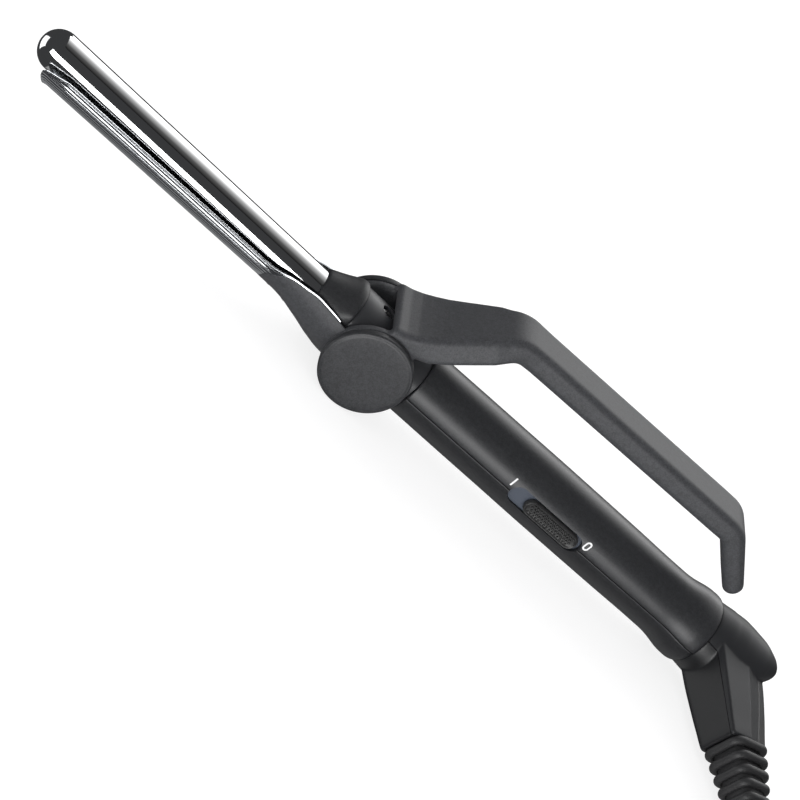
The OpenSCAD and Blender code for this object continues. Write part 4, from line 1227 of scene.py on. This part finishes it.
class IRON_OT_lever(bpy.types.Operator):
    """Makes the bent lever with its fork"""
    bl_idname = "iron.lever"
    bl_label = "Lever"

    def lean(self, x, width):
        """How far the flanks lean out toward the bottom, as a share of the width."""
        return min(curve(LEVER_LEAN, x), LEVER_WIDEST - width) / width

    def execute(self, context):
        loops = []
        for top, low in LEVER_SIDE:
            middle = ((top[0] + low[0]) / 2, (top[1] + low[1]) / 2)
            t = math.dist(top, low)
            ux, uz = (top[0] - low[0]) / t, (top[1] - low[1]) / t
            w = curve(LEVER_WIDE, top[0])
            lean = self.lean(top[0], w)
            loops.append([(middle[0] + q[1] * ux, q[0] * (1 + lean * (0.5 - q[1] / t)),
                           middle[1] + q[1] * uz)
                          for q in rounded(w, t, min(ROOT_ROUND, t / 2 - 0.05), 8)])
        stations = bend_stations(BEND_ONE, ROOT_SLOPE, BAR_SLOPE, BEND_ONE_R, 10)
        x1, z1 = stations[-1][:2]
        rear = bend_stations(BEND_TWO, BAR_SLOPE, END_SLOPE, BEND_TWO_R, 12)
        x2, z2 = rear[0][:2]
        stations += [(x1 + (x2 - x1) * k, z1 + (z2 - z1) * k, BAR_SLOPE)
                     for k in spread(0, 1, 26)[1:-1]]
        stations += rear
        x3, z3 = rear[-1][:2]
        es = math.radians(END_SLOPE)
        cut = BEND_TWO_R * math.tan(math.radians(BAR_SLOPE - END_SLOPE) / 2)
        straight = END_L - cut - TIP_L
        stations += [(x3 + d * math.cos(es), z3 + d * math.sin(es), END_SLOPE)
                     for d in spread(0, straight, 8)[1:]]
        tip = [(x3 + d * math.cos(es), z3 + d * math.sin(es), END_SLOPE, math.sqrt(
            max(0.0, 1 - ((d - straight) / TIP_L) ** 2)))
            for d in [straight + TIP_L * math.sin(a)
                      for a in spread(0.2, math.pi / 2 - 0.12, 7)]]
        for x, z, slope, full in [(*q, 1.0) for q in stations] + tip:
            w = curve(LEVER_WIDE, x) - TIP_NARROWER * (1 - full)
            t = table(LEVER_THICK, x) * (0.12 + 0.88 * full)
            a = math.radians(slope)
            corner = min(BAR_ROUND, t / 2 - 0.05)
            lean = self.lean(x - t / 2 * math.sin(a), w)
            loops.append([(x - q[1] * math.sin(a), q[0] * (1 + lean * (0.5 - q[1] / t)),
                           z + q[1] * math.cos(a))
                          for q in rounded(w, t, corner, 8)])
        bar = Shape()
        bar.loft(loops)
        lever = bar.thing("lever")
        rearward, across, up = (1, 0, 0), (0, 1, 0), (0, 0, 1)
        arch, bay, passage = Shape(), Shape(), Shape()
        arch.turned([(ARCH_R, -30), (ARCH_R, 40)],
                    axes_matrix((0, 0, BARREL_RISE), rearward, up), 96)
        bay.turned([(BAY_R, -13.7), (BAY_R, 13.7)], axes_matrix((0, 0, 0), across, up), 128)
        passage.turned([(PASSAGE_R, 0), (PASSAGE_R, 60)],
                       axes_matrix((0, 0, HANDLE_RISE), rearward, up), 96)
        carved(lever, arch.thing("arch"), bay.thing("bay"), passage.thing("passage"))
        hubs = Shape()
        for side in (-1, 1):
            hubs.turned(HUB, axes_matrix((0, 0, 0), (0, side, 0), up), 128)
        joined(lever, hubs.thing("hubs"))
        fused(lever, 0.55, 7)
        finish_piece(lever, "clamp", finish("lever_plastic"), ("lever_arm",), 80)
        return {"FINISHED"}


# ---------------------------------------------------------------- handle
GRIP = [(21.3, 13.9), (21.7, 14.2), (22.6, 14.33), (30.8, 14.4), (50, 14.55), (70, 14.65),
        (100, 14.85), (120, 14.85), (140, 14.8), (156, 14.65), (167, 14.7), (171, 14.95),
        (175, 15.55), (179, 16.3), (182, 16.58), (184.5, 16.6), (186, 16.4), (186.6, 16.1),
        (186.8, 15.7)]
SEAM = -3.0
SHELL_GAP, SHELL_LIP, SHELL_BORE = 0.12, 0.35, 12.45
SWITCH = {"x": 98.1, "length": 38.8, "width": 8.8, "z": HANDLE_RISE - 0.3}
# the two marks: their places along the grip, their height round it in degrees
OFF_X, ON_X, MARK_UP = 118.9, 76.8, 12.5
MARK_RELIEF, MARK_DEPTH, MARK_SLANT = 0.06, 0.2, 0.08
MARK_GRIP_R = 14.85
HANDLE_FLIP = Matrix(((0, 0, 1, 0), (0, 1, 0, 0), (1, 0, 0, HANDLE_RISE), (0, 0, 0, 1)))


def stadium(length, width, count=24):
    """Outline as (along, up) pairs."""
    r, half = width / 2, (length - width) / 2
    out = []
    for end, start in ((1, -90), (-1, 90)):
        for a in spread(start, start + 180, count):
            out.append((end * half + r * math.cos(math.radians(a)), r * math.sin(math.radians(a))))
    return out


def switch_place(shift=0.0):
    """Local X to the cord end, local Y up, local Z out of the near side."""
    m = Matrix(((1, 0, 0), (0, 0, -1), (0, 1, 0))).to_4x4()
    return Matrix.Translation((SWITCH["x"] + shift, 0, SWITCH["z"])) @ m


class IRON_OT_handle(bpy.types.Operator):
    """Makes the two handle shells"""
    bl_idname = "iron.handle"
    bl_label = "Handle shells"

    def execute(self, context):
        xs = (spread(21.3, 22.6, 6)[:-1] + spread(22.6, 165, 60)[:-1] + spread(165, 186, 26)[:-1]
              + spread(186, 186.8, 5))
        # the lower shell takes shell_lower, the darker copy of the plastic with painted shade
        for name, start, end, slot in (("upper", SEAM, 180 - SEAM, "shell_upper"),
                                       ("lower", 180 - SEAM, 360 + SEAM, "shell_lower")):
            outer, inner = [], []
            for x in xs:
                r = curve(GRIP, x)
                a, b = [], []
                off = math.degrees(SHELL_GAP / r)
                lip = math.degrees(SHELL_LIP / r)
                angles = [start + off, start + off + lip * 0.3, start + off + lip]
                angles += spread(start + off + lip, end - off - lip, 120)[1:-1]
                angles += [end - off - lip, end - off - lip * 0.3, end - off]
                dips = [0.3, 0.08] + [0.0] * (len(angles) - 4) + [0.08, 0.3]
                for deg, dip in zip(angles, dips):
                    t = math.radians(deg)
                    # near side is -Y: angle 0 points there, 90 up
                    a.append(((r - dip) * math.sin(t), -(r - dip) * math.cos(t), x))
                    b.append((SHELL_BORE * math.sin(t), -SHELL_BORE * math.cos(t), x))
                outer.append([HANDLE_FLIP @ Vector(p) for p in a])
                inner.append([HANDLE_FLIP @ Vector(p) for p in b])
            shape = Shape()
            shape.slab(outer, inner)
            shell = shape.thing(f"shell_{name}")
            window = Shape()
            window.loft([[(u, v, d) for u, v in stadium(
                SWITCH["length"] + grow, SWITCH["width"] + grow)]
                for d, grow in ((9, 0), (14.35, 0), (14.75, 0.5), (20, 10))], switch_place())
            carved(shell, window.thing("window"))
            finish_piece(shell, "root", finish(slot), (f"handle_shell_{name}",), 28)

        marks = Shape()
        self.ring(marks, OFF_X, stadium(4.3, 2.8), stadium(2.9, 1.4))
        self.stroke(marks, ON_X, 4.0, 0.75)
        made = marks.thing("switch_marks")
        finish_piece(made, "root", finish("white_print"))
        return {"FINISHED"}

    def wrapped(self, x, points, r):
        """Points laid on the grip, u round it and v along it."""
        out = []
        for u, v in points:
            t = math.radians(MARK_UP) + u / MARK_GRIP_R
            out.append(Vector((x + v + u * MARK_SLANT, -r * math.cos(t),
                               HANDLE_RISE + r * math.sin(t))))
        return out

    def ring(self, shape, x, outline, hole):
        high = curve(GRIP, x) + MARK_RELIEF
        shape.slab(*([self.wrapped(x, edge, high - MARK_DEPTH), self.wrapped(x, edge, high)]
                     for edge in (outline, hole)), round_about=True)

    def stroke(self, shape, x, length, width):
        high = curve(GRIP, x) + MARK_RELIEF
        rows = [[(u, -width / 2), (u, width / 2)] for u in spread(-length / 2, length / 2, 12)]
        shape.slab([self.wrapped(x, row, high) for row in rows],
                   [self.wrapped(x, row, high - MARK_DEPTH) for row in rows])


# the slider stands at the off mark, this far from the middle of its bed
KNOB_SHIFT = 3.25
# height, length and width of the knob, rising to its rim and falling to its hollow top
KNOB_LEVELS = [(13.2, 28.2, 7.2), (13.3, 28.4, 7.4), (14.6, 28.4, 7.4), (15.0, 28.2, 7.2),
               (15.4, 27.6, 6.6), (15.5, 27.2, 6.2), (15.42, 26.6, 5.6), (15.1, 26.1, 5.1),
               (15.0, 25.6, 4.6), (14.98, 20, 2.0)]
STEM_HALF_L, STEM_HALF_W = 5, 1.3


class IRON_OT_switch(bpy.types.Operator):
    """Makes the sliding knob with its pips"""
    bl_idname = "iron.switch"
    bl_label = "Switch knob"

    def execute(self, context):
        place = switch_place(KNOB_SHIFT)
        knob = Shape()
        knob.loft([[(u, v, d) for u, v in stadium(l, w)] for d, l, w in KNOB_LEVELS], place)
        knob.loft([[(u * STEM_HALF_L, v * STEM_HALF_W, d) for u, v in (
            (-1, -1), (1, -1), (1, 1), (-1, 1))] for d in (9.3, 13.4)], place)
        made = knob.thing("knob")
        pips = grown("pips", pip_tree(), {}, place @ Matrix.Translation((0, 0, 15.02)))
        joined(made, pips)
        finish_piece(made, "switch", finish("knob_plastic"), ("switch_knob",), 40)
        return {"FINISHED"}


# ---------------------------------------------------------------- elbow
DOME = [(187.3, 15.15), (188, 15.4), (192, 15.9), (197, 16.4), (202, 16.3), (206, 15.7),
        (210, 14.7), (213, 13.6), (215.6, 12.3), (218.2, 10.6), (220.7, 8.7), (223.3, 6.5),
        (225.5, 4.4), (226.8, 2.7), (227.3, 1.5), (227.5, 0.01)]
DOME_LIFT = [(198, 0.0), (210, 1.7), (219, 5.0), (224, 7.2), (228, 8.2)]
DOME_SIDES = 128
BOOT_START, BOOT_END = -4, 46
PARTING_HIGH, PARTING_LEAN, PARTING_GAP = 8.9, 2.6, 0.14
# distance along the branch, then to its left side, to the bevel's edge, to its right side,
# down and up
BOOT_SIZES = [(-4, 14.4, 2.0, 17.4, 11.8, 13.2), (6, 14.4, 1.8, 17.3, 11.8, 12.2),
              (14, 14.2, 1.2, 17.1, 11.8, 11.4), (28, 13.7, 0.0, 15.4, 11.2, 10.2),
              (38, 13.3, -1.3, 13.6, 10.5, 9.3), (44.6, 13.0, -2.2, 12.4, 10.0, 8.8),
              (45.6, 12.8, -2.2, 12.2, 9.8, 8.6), (BOOT_END, 12.3, -2.2, 11.7, 9.3, 8.1)]


def boot_section(back, edge, front, low, high):
    """The branch's outline: square on the handle side, sloped off at the rear."""
    corners = [(-back, -low, 2.6), (-back, high, 0.8), (edge, high, 1.0),
               (front, high * 0.55, 2.6), (front, -low * 0.6, 3.0), (front * 0.2, -low, 3.0)]
    out = []
    n = len(corners)
    for i, (x, y, r) in enumerate(corners):
        p, a, b = Vector((x, y)), Vector(corners[i - 1][:2]), Vector(corners[(i + 1) % n][:2])
        u, v = (a - p).normalized(), (b - p).normalized()
        half = u.angle(v) / 2
        cut = r / math.tan(half)
        for k in spread(0, 1, 9):
            q = (p + u * cut) * (1 - k) ** 2 + 2 * k * (1 - k) * p + (p + v * cut) * k ** 2
            out.append((q.x, q.y))
    return out


class IRON_OT_elbow(bpy.types.Operator):
    """Makes the swivel elbow, split into its base and cover"""
    bl_idname = "iron.elbow"
    bl_label = "Swivel elbow"

    def execute(self, context):
        dome = Shape()
        xs = spread(187.3, 188, 4)[:-1] + spread(188, 223.5, 50)[:-1] + spread(223.5, 227.5, 20)
        loops = []
        for x in xs:
            r, lift = max(0.01, curve(DOME, x)), curve(DOME_LIFT, x)
            loops.append([(lift + r * math.sin(a), r * math.cos(a), x)
                          for a in spread(0, 2 * math.pi, DOME_SIDES + 1)[:-1]])
        dome.loft(loops, HANDLE)
        solid = dome.thing("elbow")
        boot = Shape()
        ss = spread(BOOT_START, 44.6, 30)[:-1] + spread(44.6, BOOT_END, 6)
        boot.loft([[(x, y, s) for x, y in boot_section(
            *(curve([(b[0], b[k]) for b in BOOT_SIZES], s) for k in (1, 2, 3, 4, 5)))]
            for s in ss], BOOT)
        joined(solid, boot.thing("branch"))
        fused(solid, 0.42, 3)
        parting = BOOT @ Matrix.Rotation(math.radians(PARTING_LEAN), 4, "X")
        spot = PIVOT + (parting @ Vector((0, PARTING_HIGH, 0))) * MM
        normal = (parting.to_3x3() @ Vector((0, 1, 0))).normalized()
        # the base takes elbow_lower, the darker copy of the plastic with painted shade
        for name, sign, node, look in (("elbow_top", 1, "elbow_cover", "elbow_upper"),
                                       ("elbow_body", -1, "elbow_base", "elbow_lower")):
            half = bpy.data.objects.new(name, solid.data.copy())
            half.data.name = name
            context.scene.collection.objects.link(half)
            work = bmesh.new()
            work.from_mesh(half.data)
            edge = spot + normal * sign * PARTING_GAP * MM
            cut = bmesh.ops.bisect_plane(
                work, geom=work.verts[:] + work.edges[:] + work.faces[:], dist=WELD,
                plane_co=edge, plane_no=normal * sign, clear_inner=True)
            rim = [e for e in cut["geom_cut"] if isinstance(e, bmesh.types.BMEdge)]
            bmesh.ops.edgenet_fill(work, edges=rim)
            bmesh.ops.recalc_face_normals(work, faces=work.faces)
            work.to_mesh(half.data)
            work.free()
            finish_piece(half, "swivel", finish(look), (node,), 50)
        drop(solid)
        return {"FINISHED"}


# half width along the relief, its lean, and how square it is, from 4 down to a plain round
RELIEF_HALF = [(RELIEF_START, 7.4), (46, 7.8), (50, 7.6), (60, 7.0), (72, 6.1), (84, 5.1),
               (92, 4.5), (97, 4.15), (RELIEF_END, 3.9)]
RELIEF_LEAN = [(48, -2), (RELIEF_END, 0)]
RELIEF_SQUARE = [(46, 4), (RELIEF_END, 2)]
RELIEF_BORE = 3.3


class IRON_OT_relief(bpy.types.Operator):
    """Makes the ribbed strain relief"""
    bl_idname = "iron.relief"
    bl_label = "Strain relief"

    def execute(self, context):
        sizes = context.scene.iron_sizes
        core = Shape()
        stations = spread(RELIEF_START, RELIEF_END, 50)
        outer = [[(x + table(RELIEF_LEAN, s), y, s) for x, y in squarish(
            curve(RELIEF_HALF, s), table(RELIEF_SQUARE, s))] for s in stations]
        inner = [[(x, y, s) for x, y in squarish(RELIEF_BORE, 2)] for s in stations]
        core.slab(outer, inner, BOOT, round_about=True)
        made = core.thing("strain_relief_sleeve")
        ribs = grown("ribs", rib_tree(), {
            "Count": sizes.ribs, "Pitch": sizes.rib_pitch / MM, "First": 48.0, "Wide": 10.5,
            "Step": 0.58, "Bead": 1.9}, BOOT)
        joined(made, ribs)
        finish_piece(made, "swivel", finish("relief_rubber"),
                     ("strain_relief",), 50)
        return {"FINISHED"}


class IRON_OT_inner_parts(bpy.types.Operator):
    """Gives every carried-over part its finish"""
    bl_idname = "iron.inner_parts"
    bl_label = "Inner parts"

    def execute(self, context):
        slots = {s["node"]: s["material_slot"] for s in frame["record"]["subparts"]}
        for name, part in frame["nodes"].items():
            if not part.hide_render:
                part.data.materials.clear()
                part.data.materials.append(finish(slots[name]))
        return {"FINISHED"}


class IRON_PT_panel(bpy.types.Panel):
    """Lists the steps of the build"""
    bl_label = "Curling iron"
    bl_idname = "IRON_PT_panel"
    bl_space_type = "VIEW_3D"
    bl_region_type = "UI"
    bl_category = "Iron"

    def draw(self, context):
        for group in (context.scene.iron_sizes, context.scene.iron_finishes):
            for key in group.bl_rna.properties.keys():
                if key not in ("rna_type", "name"):
                    self.layout.prop(group, key)
        for step in STEPS:
            self.layout.operator(step.bl_idname)


STEPS = (IRON_OT_stage, IRON_OT_relief, IRON_OT_plug, IRON_OT_cord, IRON_OT_barrel, IRON_OT_neck,
         IRON_OT_screws, IRON_OT_spoon, IRON_OT_cup, IRON_OT_discs, IRON_OT_lever,
         IRON_OT_handle, IRON_OT_switch, IRON_OT_elbow, IRON_OT_inner_parts)
CLASSES = (IronSizes, IronFinishes, *STEPS, IRON_PT_panel)


def register():
    for c in CLASSES:
        bpy.utils.register_class(c)
    bpy.types.Scene.iron_sizes = PointerProperty(type=IronSizes)
    bpy.types.Scene.iron_finishes = PointerProperty(type=IronFinishes)


def unregister():
    del bpy.types.Scene.iron_sizes
    del bpy.types.Scene.iron_finishes
    for c in reversed(CLASSES):
        bpy.utils.unregister_class(c)


def main():
    register()
    make_finishes(bpy.context)
    for step in STEPS:
        group, name = step.bl_idname.split(".")
        getattr(getattr(bpy.ops, group), name)()


if __name__ == "__main__":
    main()
